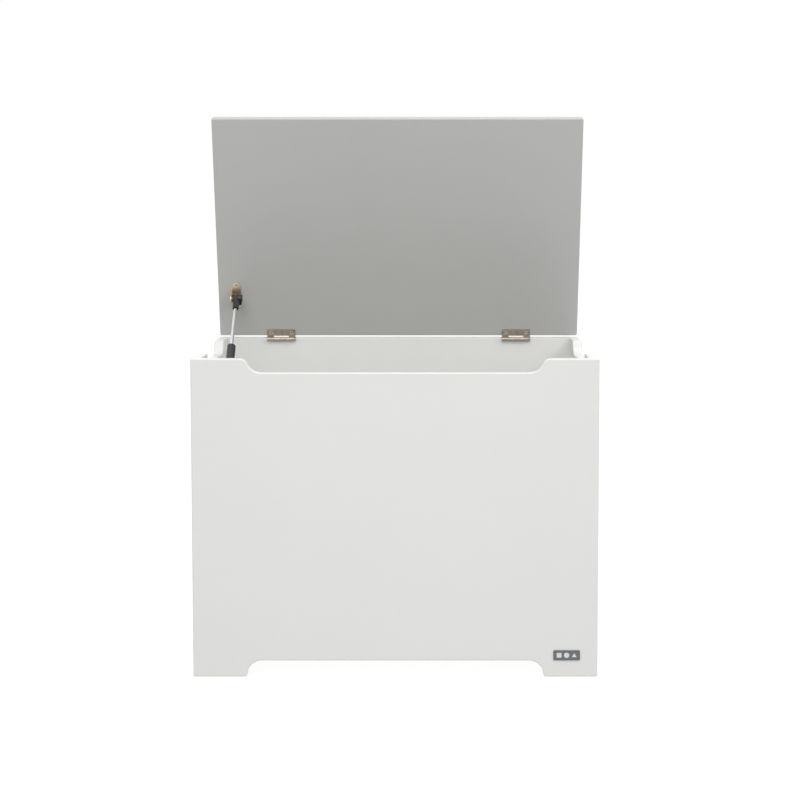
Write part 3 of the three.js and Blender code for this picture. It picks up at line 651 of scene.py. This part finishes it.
# Bores that a board needs for the cams, bolts and dowels that pass into it. The cutters are in
# the box's frame, in millimetres.
def boresFor(board):
    low, high = (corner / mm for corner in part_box(board))
    spare = fittings["spare"]
    cutters = []

    def cylinder(centre, axis, start, end, radius):
        outline = arc((0, 0), radius, 0, 360, 40)[:-1]
        tool = prism(outline, start, end)
        aim = turn(90, "Y") if axis == "X" else turn(-90, "X")
        where = [centre.x, centre.y, centre.z]
        where["XYZ".index(axis)] = 0
        cutters.append(moved(tool, at(*where) @ aim))

    for cam, bolt in zip(camNames, boltNames):
        side = 1 if "right" in cam else -1
        centre = middle(cam) / mm
        camLow, camHigh = (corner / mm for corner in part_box(cam))
        boltLow, boltHigh = (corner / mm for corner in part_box(bolt))
        if board.endswith("side_panel") and low.x < centre.x < high.x:
            face = low.x if side > 0 else high.x
            floor = (camHigh.x if side > 0 else camLow.x) + side * spare
            cylinder(centre, "X", min(floor, face - side), max(floor, face - side),
                     fittings["camRadius"] + spare)
            boltMiddle = middle(bolt) / mm
            reach = centre.y
            outside = low.y - 1 if reach < 0 else high.y + 1
            cylinder(boltMiddle, "Y", min(reach, outside), max(reach, outside),
                     fittings["boltTunnel"])
        elif board in ("front_panel", "back_panel") and cam.startswith(board[:4]):
            inner = high.y + 1 if board == "front_panel" else low.y - 1
            deep = boltLow.y - spare if board == "front_panel" else boltHigh.y + spare
            cylinder(middle(bolt) / mm, "Y", min(inner, deep), max(inner, deep),
                     fittings["boltPilot"])
    for dowel in dowelNames:
        dowelLow, dowelHigh = (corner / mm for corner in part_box(dowel))
        overlaps = all(dowelHigh[i] > low[i] and dowelLow[i] < high[i] for i in range(3))
        if overlaps:
            start, end = dowelLow.y - spare, dowelHigh.y + spare
            if board.endswith("side_panel"):
                start, end = (low.y - 1, end) if start < 0 else (start, high.y + 1)
            else:
                start, end = (start, high.y + 1) if board == "front_panel" else (low.y - 1, end)
            cylinder(middle(dowel) / mm, "Y", start, end, fittings["dowelRadius"] + spare)
    return cutters


# Stands a board that is drawn flat, with its length along X and its height along Y.
def standBoard(name, outline, axis, cutters=()):
    low, high = (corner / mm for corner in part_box(name))
    if axis == "Y":
        slab = moved(prism(outline, -high.y, -low.y), at(low.x, 0, low.z) @ turn(90, "X"))
    else:
        slab = moved(prism(outline, low.x, high.x), toSideways(0, low.y, low.z))
    slab = rounded(slab, boards["edge"], boards["edgeSteps"])
    return piece(name, carved(slab, [*boresFor(name), *cutters]), Matrix(), "carcass",
                 "white_lacquer")


def boardSize(name):
    low, high = (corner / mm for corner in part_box(name))
    return high - low


foot = boards["foot"]
frontSize = boardSize("front_panel")
standBoard("front_panel", boardOutline(frontSize.x, frontSize.z, foot, foot,
                                       boards["frontWing"], boards["frontWing"]), "Y")

# The back has a mortise for each hinge leaf in its top edge, with the screws' holes in its floor.
backCutters = []
backSize = boardSize("back_panel")
for side in ("left", "right"):
    low, high = (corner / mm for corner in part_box(f"{side}_hinge_back_leaf"))
    boardLow, boardHigh = (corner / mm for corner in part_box("back_panel"))
    spare = fittings["spare"]
    backCutters.append(block(
        (low.x - spare, boardLow.y - 1, boardHigh.z - hinge["thick"] - spare),
        (high.x + spare, high.y + spare, boardHigh.z + 1),
    ))
    for place in ("outer", "inner"):
        centre = middle(f"{side}_hinge_back_{place}_screw") / mm
        backCutters.append(moved(screwRoom(hinge["screw"]), at(centre.x, centre.y, boardHigh.z)))
standBoard("back_panel", boardOutline(backSize.x, backSize.z, foot, foot, None, None), "Y",
           backCutters)

sideSize = boardSize("left_side_panel")
sideEnd = (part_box("left_side_panel")[0].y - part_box("front_panel")[0].y) / mm
sideOutline = boardOutline(sideSize.y, sideSize.z, foot - sideEnd, foot - sideEnd,
                           boards["sideFrontWing"] - sideEnd, boards["sideRearWing"] - sideEnd)
strutScrewHoles = [
    moved(screwRoom(bracket["screw"]), at(*(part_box(name)[1].x / mm, *(middle(name) / mm).yz))
          @ turn(90, "Y"))
    for name in ("strut_side_bracket_lower_screw", "strut_side_bracket_upper_screw")
]
standBoard("left_side_panel", sideOutline, "X", strutScrewHoles)
standBoard("right_side_panel", sideOutline, "X")


def plainBoard(name, slot, edge):
    low, high = (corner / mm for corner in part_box(name))
    return piece(name, rounded(block(low, high), edge, 3), Matrix(), "carcass", slot)


plainBoard("base_panel", "white_lacquer", 0.8)
for side in ("left", "right"):
    plainBoard(f"{side}_base_batten", "raw_board", 1.2)
print("carcass boards made")


# The lid, drawn closed.
lidBoard = {"corner": 3, "edge": 2.0, "steps": 4}
lidLow, lidHigh = span("lid_panel", lidFrame)
lidSize = lidHigh - lidLow
lidMiddle = (lidLow + lidHigh) / 2
slab = prism(roundedRectangle(lidSize.x, lidSize.y, lidBoard["corner"]), lidLow.z, lidHigh.z)
slab = rounded(moved(slab, at(lidMiddle.x, lidMiddle.y, 0)), lidBoard["edge"], lidBoard["steps"])
lidCutters = []
lidScrews = [(f"{side}_hinge_lid_{place}_screw", hinge["screw"])
             for side in ("left", "right") for place in ("outer", "inner")]
lidScrews += [(f"strut_lid_bracket_{place}_screw", bracket["screw"])
              for place in ("upper", "lower")]
screwSpots = {}
for name, screw in lidScrews:
    low, high = span(name, lidFrame)
    screwSpots[name] = Vector(((low.x + high.x) / 2, (low.y + high.y) / 2, low.z))
    lidCutters.append(moved(screwRoom(screw), at(*screwSpots[name]) @ turn(180, "X")))
piece("lid_panel", carved(slab, lidCutters), lidFrame, "lid", "grey_lacquer")
print("lid board made")


# A cross recess, as shares of a screw head's radius and height.
recess = {"reach": 0.66, "width": 0.2, "depth": 0.75, "taper": 0.45, "narrowing": 0.7, "turn": 20}


# A countersunk screw that points down -Z: thread ridges, a domed edge and a cross recess.
def screwMesh(screw):
    radius, head, height = screw["radius"], screw["head"], screw["headHeight"]
    core = radius * 0.72
    profile = [(0, -screw["length"]), (radius * 0.35, -screw["length"] + 0.6)]
    z = -screw["length"] + 2.5
    while z < -height - 1.5:
        profile += [(core, z), (radius, z + 0.35 * screw["pitch"]),
                    (core, z + 0.7 * screw["pitch"])]
        z += screw["pitch"]
    profile += [(radius, -height - 0.4), (radius, -height), (head - 0.12, -0.18),
                (head, -0.06), (head - 0.1, 0), (0, 0)]
    body = turned(profile, 32)
    cutters = []
    for angle in (0, 90):
        reach, side = head * recess["reach"], head * recess["width"]
        blade = block((-reach, -side, -height * recess["depth"]), (reach, side, 1))
        for vertex in blade.verts:
            if vertex.co.z < 0:
                vertex.co.x *= recess["taper"]
                vertex.co.y *= recess["narrowing"]
        cutters.append(moved(blade, turn(angle + recess["turn"], "Z")))
    return carved(body, cutters)


for name, screw in lidScrews:
    slot = "bright_zinc" if "strut" in name else "hinge_bronze"
    place = lidFrame @ toMetres @ at(*screwSpots[name]) @ turn(180, "X") @ toMillimetres
    paint = "zinc_screw" if "strut" in name else "bronze_screw"
    piece(name, screwMesh(screw), place, "lid", slot, paint)
for side in ("left", "right"):
    for spot in ("outer", "inner"):
        name = f"{side}_hinge_back_{spot}_screw"
        low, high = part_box(name)
        place = Matrix.Translation(((low.x + high.x) / 2, (low.y + high.y) / 2, high.z))
        piece(name, screwMesh(hinge["screw"]), place, "carcass", "hinge_bronze", "bronze_screw")
for spot in ("lower", "upper"):
    name = f"strut_side_bracket_{spot}_screw"
    low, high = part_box(name)
    place = Matrix.Translation((high.x, (low.y + high.y) / 2, (low.z + high.z) / 2))
    piece(name, screwMesh(bracket["screw"]), place @ turn(90, "Y"), "carcass", "bright_zinc",
          "zinc_screw")
print("screws made")


# A hinge leaf is one sheet: a plate and tabs that are rolled round the pin. It is drawn about the
# pin's axis, reaching along -Y, with its upper face level with the top of the knuckles.
def leafMesh(width, length, tabs):
    radius = hinge["radius"]
    plateEnd = radius + hinge["notch"]
    wrap, count = math.radians(hinge["wrap"]), hinge["wrapSteps"]
    half = width / 2
    columns = sorted({-half, half, *(x for tab in tabs for x in tab)})
    rolled = [radius * wrap * i / count for i in range(count + 1)]
    rows = [-length, -plateEnd, -plateEnd / 2, *rolled]
    sheet = bmesh.new()
    grid = {}

    def corner(i, j):
        if (i, j) not in grid:
            s = rows[j]
            a = max(s, 0) / radius
            y = s if s < 0 else radius * math.sin(a)
            z = radius * math.cos(a)
            grid[i, j] = sheet.verts.new((columns[i], y, z))
        return grid[i, j]

    for i in range(len(columns) - 1):
        centre = (columns[i] + columns[i + 1]) / 2
        inTab = any(low < centre < high for low, high in tabs)
        for j in range(len(rows) - 1):
            if j == 0 or inTab:
                sheet.faces.new([corner(i, j), corner(i + 1, j), corner(i + 1, j + 1),
                                 corner(i, j + 1)])
    ends = [grid[0, 0], grid[len(columns) - 1, 0]]
    bmesh.ops.bevel(sheet, geom=ends, offset=hinge["corner"], segments=5, profile=0.5,
                    affect="VERTICES")
    bmesh.ops.recalc_face_normals(sheet, faces=sheet.faces[:])
    flat = min(sheet.faces, key=lambda face: face.calc_center_median().y)
    if flat.normal.z < 0:
        bmesh.ops.reverse_faces(sheet, faces=sheet.faces[:])
    return modified(sheet, ("SOLIDIFY", {"thickness": hinge["thick"], "offset": -1}))


def leafPiece(side, part):
    centre = middle(f"{side}_hinge_pin").x / mm
    width = boardSize(f"{side}_hinge_back_leaf").x
    knuckle, gap = hinge["endKnuckle"], hinge["gap"]
    half = width / 2
    screw, spread = hinge["screw"], hinge["screwSpread"]
    name = f"{side}_hinge_{part}_leaf"
    if part == "lid":
        low, high = span(name, lidFrame)
        tabs = [(-half, -half + knuckle), (half - knuckle, half)]
        leaf, reach = leafMesh(width, -low.y, tabs), hinge["lidScrew"]
        face, flip = hinge["radius"] - hinge["thick"], 180
        place, body = lidFrame @ toMetres @ at(centre, 0, 0) @ toMillimetres, "lid"
    else:
        length = (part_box(name)[1].y - hingePoint.y) / mm
        tabs = [(-half + knuckle + gap, half - knuckle - gap)]
        leaf, reach = leafMesh(width, length, tabs), hinge["backScrew"]
        face, flip = hinge["radius"], 0
        place = Matrix.Translation((centre * mm, hingePoint.y, hingePoint.z)) @ turn(180, "Z")
        body = "carcass"
    holes = [moved(screwRoom(screw, hinge["holeSpare"]), at(x, -reach, face) @ turn(flip, "X"))
             for x in (-spread / 2, spread / 2)]
    leaf = softened(carved(leaf, holes), hinge["edge"])
    return piece(name, leaf, place, body, "hinge_bronze")


def pinPiece(side):
    name = f"{side}_hinge_pin"
    low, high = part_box(name)
    half = (high.x - low.x) / mm / 2
    radius = hinge["pin"]
    dome = [(radius * math.cos(math.radians(a)), half - 0.5 + 0.5 * math.sin(math.radians(a)))
            for a in (0, 20, 40, 60, 78)]
    profile = [(0, -half)] + [(r, -z) for r, z in reversed(dome)] + dome + [(0, half)]
    place = Matrix.Translation(middle(name)) @ turn(90, "Y")
    return piece(name, turned(profile, 32), place, "carcass", "hinge_bronze")


for side in ("left", "right"):
    leafPiece(side, "lid")
    leafPiece(side, "back")
    pinPiece(side)
print("hinges made")


# The lid's strut bracket: a plate with round ends, and an ear bent down from its outer edge.
def lidBracket():
    name = "strut_lid_bracket"
    low, high = span(name, lidFrame)
    thick, bend = bracket["thick"], bracket["bend"]
    centreY = (low.y + high.y) / 2
    top = high.z
    ballZ = (lidFrame.inverted() @ upperBall).z / mm
    left = low.x  # the ear's outer face and the plate's outer edge
    plate = moved(prism(roundedRectangle(bracket["width"], bracket["length"],
                                         bracket["width"] / 2 - 0.1, 12), top - thick, top),
                  at(left + bracket["width"] / 2, centreY, 0))
    tip, half = bracket["earTip"], bracket["earBase"] / 2
    lean = math.degrees(math.atan2(half - tip, top - thick - ballZ))
    outline = [(half, top - thick / 2), (-half, top - thick / 2)]
    outline += [(u, ballZ + v) for u, v in arc((0, 0), tip, 180 + lean, 360 - lean, 24)]
    ear = moved(prism(outline, 0, thick), toSideways(left, centreY))
    outer = bend + thick
    elbow = ([(left + outer - outer * math.cos(math.radians(a)),
               top - outer + outer * math.sin(math.radians(a))) for a in range(0, 91, 10)]
             + [(left + outer - bend * math.cos(math.radians(a)),
                 top - outer + bend * math.sin(math.radians(a))) for a in range(90, -1, -10)])
    corner = moved(prism(elbow, -half, half), Matrix((
        (1, 0, 0, 0), (0, 0, -1, centreY), (0, 1, 0, 0), (0, 0, 0, 1))))
    crop = block((left - 1, centreY - half, top - outer), (left + outer, centreY + half, top + 1))
    bent = carved(fused(plate, [ear]), [crop])
    bent = fused(bent, [corner])
    room = bracket["holeSpare"]
    holes = [moved(screwRoom(bracket["screw"], room), at(*screwSpots[screw]) @ turn(180, "X"))
             for screw in ("strut_lid_bracket_upper_screw", "strut_lid_bracket_lower_screw")]
    hole, reach = bracket["studHole"], 4 * thick
    stud = moved(turned([(0, -reach), (hole, -reach), (hole, reach), (0, reach)], 32),
                 at(left, centreY, ballZ) @ turn(90, "Y"))
    bent = softened(carved(bent, [*holes, stud]), bracket["edge"])
    return piece(name, bent, lidFrame, "lid", "yellow_zinc")


def sideBracket():
    name = "strut_side_bracket"
    low, high = (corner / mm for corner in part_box(name))
    centre = (low + high) / 2
    thick = high.x - low.x
    plate = prism(roundedRectangle(high.y - low.y, high.z - low.z,
                                   (high.y - low.y) / 2 - 0.1, 12), 0, thick)
    half = bracket["screwSpread"] / 2
    holes = [moved(screwRoom(bracket["screw"], bracket["holeSpare"]), at(0, end * half, thick))
             for end in (-1, 1)]
    onSide = toSideways(low.x * mm, centre.y * mm, centre.z * mm)
    return piece(name, softened(carved(plate, holes), bracket["edge"]), onSide, "carcass",
                 "yellow_zinc")


ball = {"radius": 4, "neck": 2.3, "socket": 4.3, "mouth": 3.4, "steps": 14}


# The ball's profile, from its neck to its tip.
def ballPoints():
    first = math.degrees(math.asin(ball["neck"] / ball["radius"]))
    count, radius = ball["steps"], ball["radius"]
    angles = [math.radians(first + (180 - first) * i / count) for i in range(count)]
    return [(radius * math.sin(a), -radius * math.cos(a)) for a in angles] + [(0, radius)]


def lidBallStud():
    name = "strut_lid_ball_stud"
    start = span(name, lidFrame)[0].x - upperBall.x / mm
    foot = start + 1.2  # the rivet's head
    neck = ball["neck"]
    collar = foot + 0.2 + bracket["thick"] + 0.2
    profile = [(0, start), (2.2, start), (3.1, start + 0.25), (3.6, start + 0.7), (3.6, foot),
               (neck, foot), (neck, collar), (3.8, collar), (4, collar + 0.2),
               (4, collar + 0.6), (3.8, collar + 0.8), (neck + 0.3, collar + 0.9),
               *ballPoints()]
    place = Matrix.Translation(upperBall) @ turn(-lidAngle, "X") @ turn(90, "Y")
    return piece(name, turned(profile, 40), place, "lid", "brass")


def sideBallStud():
    name = "strut_side_ball_stud"
    start = (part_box(name)[0].x - upperBall.x) / mm
    neck = ball["neck"]
    profile = [(0, start), (5.2, start), (5.5, start + 0.3), (5.5, start + 2.1),
               (5.1, start + 2.5), (neck + 0.5, start + 2.6), (neck, start + 3.1),
               *ballPoints()]
    place = Matrix.Translation(lowerBall) @ turn(90, "Y")
    return piece(name, turned(profile, 40), place, "strut_tube", "brass")


lidBracket()
sideBracket()
lidBallStud()
sideBallStud()
print("brackets and ball studs made")


# The strut. It hangs down -Z from the upper ball.
strut = {
    "barrel": 7,
    "barrelWidth": 14,
    "cap": 3,
    "shoulder": 6.5,
    "body": 5.25,
    "groove": 0.5,
    "rod": 3,
    "rodBore": 3.3,
    "rodSocket": 13,  # how far the rod's end goes into its fitting
    "tube": 7.5,
    "wall": 0.9,
    "lipInner": 4.2,
    "clipThick": 0.6,
    "clipWidth": 5,
    "clipMiddle": 6,
    "clipGap": 60,
    "clipLeg": 4.5,
    "clipFlare": 0.5,
}


def roundCorner(radius, height, size, outward, steps=5):
    points = []
    for i in range(steps + 1):
        a = math.radians(90 * i / steps)
        if outward > 0:
            points.append((radius - size + size * math.sin(a), height + size - size * math.cos(a)))
        else:
            points.append((radius - size + size * math.cos(a), height - size + size * math.sin(a)))
    return points


# A socket end: a capped barrel across the ball and a tapered body that takes the strut.
def endFitting(name, place, body, holeRadius, holeDepth):
    end = span(name, place)[0].z
    half = strut["barrelWidth"] / 2
    cap, groove = half + strut["cap"], strut["groove"]
    barrel = turned([(0, -half), *roundCorner(strut["barrel"], -half, 1, 1),
                     (strut["barrel"], half - 0.6), (strut["barrel"] - groove, half - 0.2),
                     (strut["barrel"] - groove, half + 0.2), (strut["barrel"], half + 0.6),
                     *roundCorner(strut["barrel"], cap, 1, -1), (0, cap)], 48)
    radius, shoulder = strut["body"], strut["shoulder"]
    profile = [(0, end), *roundCorner(radius, end, 0.6, 1), (radius, end + 2.2)]
    if holeRadius:
        profile += [(radius - groove, end + 2.6), (radius - groove, end + 3.6), (radius, end + 4)]
    profile += [(shoulder, -strut["barrel"]), (shoulder, -4), (0, -3)]
    core = turned(profile, 48)
    socket = turned([(0, -ball["socket"])] + [
        (ball["socket"] * math.cos(math.radians(a)), ball["socket"] * math.sin(math.radians(a)))
        for a in range(-80, 81, 10)] + [(0, ball["socket"])], 32)
    mouth = moved(turned([(0, -12), (4.6, -12), (ball["mouth"], -half + 1.2), (ball["mouth"], 0),
                          (0, 0)], 32), turn(90, "Y"))
    cutters = [socket, mouth]
    if holeRadius:
        cutters.append(turned([(0, end - 1), (holeRadius, end - 1), (holeRadius, end + holeDepth),
                               (0, end + holeDepth)], 32))
    whole = carved(fused(moved(barrel, turn(90, "Y")), [core]), cutters)
    return piece(name, whole, place, body, "black_nylon")


# The spring clip round a socket: an open band whose two legs lie along the body.
def socketClip(name, place, body):
    inner = strut["barrel"] + 0.2
    outer = inner + strut["clipThick"]
    start, end = -90 + strut["clipGap"], 270 - strut["clipGap"]
    outline = arc((0, 0), outer, start, end, 40)
    back = arc((0, 0), inner, end, start, 40)
    flare = strut["clipFlare"]
    for line in (outline, back):
        (firstY, firstZ), (lastY, lastZ) = line[0], line[-1]
        line.insert(0, (firstY + math.copysign(flare, firstY), firstZ - strut["clipLeg"]))
        line.append((lastY + math.copysign(flare, lastY), lastZ - strut["clipLeg"]))
    half, middleX = strut["clipWidth"] / 2, strut["clipMiddle"]
    band = moved(prism(outline + back, middleX - half, middleX + half), toSideways())
    return piece(name, rounded(band, 0.15, 2), place, body, "black_tube")


endFitting("strut_rod_end_fitting", strutFrame, "strut_rod", strut["rodBore"],
           strut["rodSocket"])
endFitting("strut_tube_end_fitting", lowerFrame, "strut_tube", 0, 0)
socketClip("strut_rod_end_clip", strutFrame, "strut_rod")
socketClip("strut_tube_end_clip", lowerFrame, "strut_tube")


def turnedPiece(name, profile, body, slot, place=strutFrame, sides=56):
    return piece(name, turned(profile, sides), place, body, slot)


low, high = span("strut_rod", strutFrame)
turnedPiece("strut_rod", [
    (0, low.z), *roundCorner(strut["rod"], low.z, 0.3, 1, 3),
    *[(strut["rod"], low.z + (high.z - low.z) * i / 12) for i in range(1, 12)],
    *roundCorner(strut["rod"], high.z, 0.3, -1, 3), (0, high.z),
], "strut_rod", "chromed_rod")

low, high = span("strut_piston", strutFrame)
inner, rodBore = strut["tube"] - strut["wall"], strut["rodBore"]
turnedPiece("strut_piston", [
    (0, low.z), (inner - 0.6, low.z), (inner - 0.3, low.z + 0.3), (inner - 0.3, low.z + 2),
    (inner - 1.1, low.z + 2.2), (inner - 1.1, high.z - 2.2), (inner - 0.3, high.z - 2),
    (inner - 0.3, high.z - 0.3), (inner - 0.6, high.z), (rodBore, high.z), (rodBore, low.z + 0.8),
    (0, low.z + 0.8),
], "strut_rod", "black_nylon")

low, high = span("strut_gland", strutFrame)
turnedPiece("strut_gland", [
    (rodBore, low.z), (inner - 0.5, low.z), (inner - 0.3, low.z + 0.2), (inner - 0.3, high.z - 0.2),
    (inner - 0.5, high.z), (rodBore + 0.2, high.z), (rodBore, high.z - 0.2), (rodBore, low.z),
], "strut_tube", "black_nylon")

low, high = span("strut_tube", strutFrame)
radius, lip = strut["tube"], strut["lipInner"]
turnedPiece("strut_tube", [
    (0, low.z), *roundCorner(radius, low.z, 1.2, 1, 6),
    *[(radius, low.z + 6 + (high.z - low.z - 16) * i / 10) for i in range(11)],
    *roundCorner(radius, high.z, 2.2, -1, 8),
    (lip + 0.2, high.z), (lip, high.z - 0.2), (lip, high.z - 1.2), (inner, high.z - 1.4),
    (inner, low.z + 2), (0, low.z + 2),
], "strut_tube", "black_tube")
print("strut made")


# Corner fittings: cams with a cross slot and a raised edge, bolts and dowels.
def camMesh():
    radius, deep = fittings["camRadius"], fittings["camDepth"]
    body = turned([
        (0, -deep), (radius - 0.5, -deep), (radius, -deep + 0.5), (radius, -1.4),
        (radius - 0.35, -1.2), (radius - 0.35, -0.9), (radius, -0.7), (radius, -0.25),
        (radius - 0.25, 0), (radius - 1.0, 0), (radius - 1.3, -0.35), (0, -0.35),
    ], 48)
    cutters = []
    for angle in (0, 90):
        blade = block((-4.5, -0.8, -2.4), (4.5, 0.8, 1))
        for vertex in blade.verts:
            if vertex.co.z < 0:
                vertex.co.x *= 0.45
        cutters.append(moved(blade, turn(angle + fittings["slotTurn"], "Z")))
    arrow = prism([(4.6, -0.9), (6.0, 0), (4.6, 0.9)], -0.8, 1)
    return carved(body, [*cutters, arrow])


for cam, bolt in zip(camNames, boltNames):
    side = 1 if "right" in cam else -1
    end = 1 if cam.startswith("back") else -1
    low, high = (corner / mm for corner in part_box(cam))
    centre = (low + high) / 2
    face = low.x if side > 0 else high.x
    boltSpot = middle(bolt) / mm
    place = at(face, centre.y, centre.z) @ turn(-90 * side, "Y")
    hole = moved(turned([(0, -2.3), (3.7, -2.3), (3.7, 12), (0, 12)], 32),
                 at(boltSpot.x, centre.y, centre.z) @ turn(-90 * end, "X"))
    body = carved(moved(camMesh(), place), [hole])
    piece(cam, body, Matrix(), "carcass", "bright_zinc")

    low, high = (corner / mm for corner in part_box(bolt))
    length = high.y - low.y
    wood, tip = fittings["boltInBoard"], length - fittings["boltInBoard"]
    profile = [(0, -wood)]
    thread = fittings["thread"]
    z = -wood + 1
    while z < -1.2:
        profile += [(thread["core"], z), (thread["crest"], z + 0.5), (thread["core"], z + 1.0)]
        z += thread["pitch"]
    profile += [(2.4, 0), (2.4, 0.2), (3.4, 0.3), (3.4, 1.6), (2.5, 1.7), (2.5, tip - 3),
                (3.4, tip - 2.3), (3.4, tip - 0.8), (2.6, tip), (0, tip)]
    start = low.y + wood if end < 0 else high.y - wood
    place = Matrix.Translation((boltSpot.x * mm, start * mm, boltSpot.z * mm)) @ turn(90 * end, "X")
    piece(bolt, turned(profile, 32), place, "carcass", "bright_zinc")

for dowel in dowelNames:
    low, high = (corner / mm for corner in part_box(dowel))
    half = (high.y - low.y) / 2
    radius = fittings["dowelRadius"]
    flutes = []
    corners = fittings["flutes"] * 6  # every sixth corner is sunk
    for i in range(corners):
        a = 2 * math.pi * i / corners
        r = radius - (fittings["fluteDepth"] if i % 6 == 0 else 0)
        flutes.append((r * math.cos(a), r * math.sin(a)))
    wood = rounded(prism(flutes, -half, half), 0.5, 2)
    place = Matrix.Translation(middle(dowel)) @ turn(-90, "X")
    piece(dowel, wood, place, "carcass", "dowel_wood")
print("corner fittings made")


# The badge: a plate with a raised rim and three printed shapes.
badge = {"corner": 1.5, "rim": 1.0, "sunk": 0.3, "edge": 0.25, "mark": 4.3, "gap": 12}


def badgePlate():
    name = "badge_plate"
    low, high = (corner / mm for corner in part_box(name))
    width, height, thick = high.x - low.x, high.z - low.z, high.y - low.y
    plate = rounded(prism(roundedRectangle(width, height, badge["corner"]), 0, thick),
                    badge["edge"], 3)
    rim, floor = badge["rim"], thick - badge["sunk"]
    tray = prism(roundedRectangle(width - 2 * rim, height - 2 * rim, badge["corner"] - 0.5),
                 floor, thick + 1)
    plate = carved(plate, [tray])
    mark, gap = badge["mark"], badge["gap"]
    square = [(x - gap, y) for x, y in roundedRectangle(2 * mark * 0.9, 2 * mark * 0.9, 0.7, 4)]
    disc = arc((0, 0), mark, 0, 360, 40)[:-1]
    triangle = []
    for k in range(3):
        a = 90 + 120 * k
        centre = (gap + (mark * 0.78) * math.cos(math.radians(a)),
                  -mark * 0.18 + (mark * 0.78) * math.sin(math.radians(a)))
        triangle += arc(centre, 0.6, a - 60, a + 60, 5)
    printed = combined([prism(outline, floor - 0.05, floor + 0.12)
                        for outline in (square, disc, triangle)])
    for face in printed.faces:
        face.material_index = 1
    whole = combined([plate, printed])
    place = Matrix.Translation(((low.x + high.x) / 2 * mm, high.y * mm,
                                (low.z + high.z) / 2 * mm)) @ turn(90, "X")
    return piece(name, whole, place, "carcass", "badge_grey", extra=["pale_ink"])


badgePlate()
print("badge made")


# Camera, light and floor.
camera = {
    "place": (0.0485, -3.0407, 0.78372),
    "pitch": 4.684,
    "lens": 82.15,
    "sensor": 36,
    "shift": (-0.0325, -0.0875),
    "far": 50,
}
lens = bpy.data.cameras.new("camera")
lens.lens, lens.sensor_width = camera["lens"], camera["sensor"]
lens.shift_x, lens.shift_y = camera["shift"]
lens.clip_end = camera["far"]
eye = bpy.data.objects.new("camera", lens)
eye.location = camera["place"]
eye.rotation_euler = (math.radians(90 - camera["pitch"]), 0, 0)
scene.collection.objects.link(eye)
scene.camera = eye

lights = {
    "softbox": {"place": (-0.9, -3.4, 2.6), "size": 2.5, "power": 46},
    "key": {"place": (2.4, -1.5, 2.6), "size": 1.1, "power": 36},
    "top": {"place": (0, -0.7, 2.6), "size": 2.6, "power": 17},
    "bounce": {"place": (0, -0.85, 0.02), "size": 1.2, "power": 0.9},
}
aimPoint = Vector((0, 0, 0.3))
for name, light in lights.items():
    data = bpy.data.lights.new(name, "AREA")
    data.size, data.energy = light["size"], light["power"]
    lamp = bpy.data.objects.new(name, data)
    lamp.location = light["place"]
    aim = aimPoint - Vector(light["place"])
    lamp.visible_camera = False
    lamp.rotation_euler = aim.to_track_quat("-Z", "Y").to_euler()
    scene.collection.objects.link(lamp)

# The room: white to the eye, and for the box a soft dome that is brightest behind and below.
room = {"seen": 1.02, "below": 1.0, "ground": 0.3, "before": 0.45, "behind": 1.2, "high": 0.75}
grey = {part: (level,) * 3 for part, level in room.items()}
world = bpy.data.worlds.new("room")
scene.world = world
world.use_nodes = True
tree = world.node_tree
direction = Wire(tree, tree.nodes.new("ShaderNodeTexCoord").outputs["Generated"])
upward = direction.node("ShaderNodeSeparateXYZ", {}, {0: direction}, 2)
backward = direction.node("ShaderNodeSeparateXYZ", {}, {0: direction}, 1)
horizon = backward.rise(-0.6, 0.8).between(grey["before"], grey["behind"])
sky = upward.rise(0, 0.9).between(horizon, grey["high"])
ground = upward.rise(-1, -0.45).between(grey["below"], grey["ground"])
dome = upward.rise(-0.15, 0.05).between(ground, sky)
seen = Wire(tree, tree.nodes.new("ShaderNodeLightPath").outputs["Is Camera Ray"])
shade = seen.between(dome, grey["seen"])
tree.links.new(shade.socket, tree.nodes["Background"].inputs["Color"])

floorSize, floorGap = 14, 0.0005
floor = bpy.data.meshes.new("floor")
sheet = bmesh.new()
bmesh.ops.create_grid(sheet, x_segments=24, y_segments=24, size=floorSize)
sheet.to_mesh(floor)
sheet.free()
floor.materials.append(materials["pale_floor"])
stand = bpy.data.objects.new("floor", floor)
stand.location = (0, 0, cadBox[0].z - floorGap)
scene.collection.objects.link(stand)
stand.visible_diffuse = False
scene.view_settings.view_transform = "Standard"
print("camera, lights and floor made")
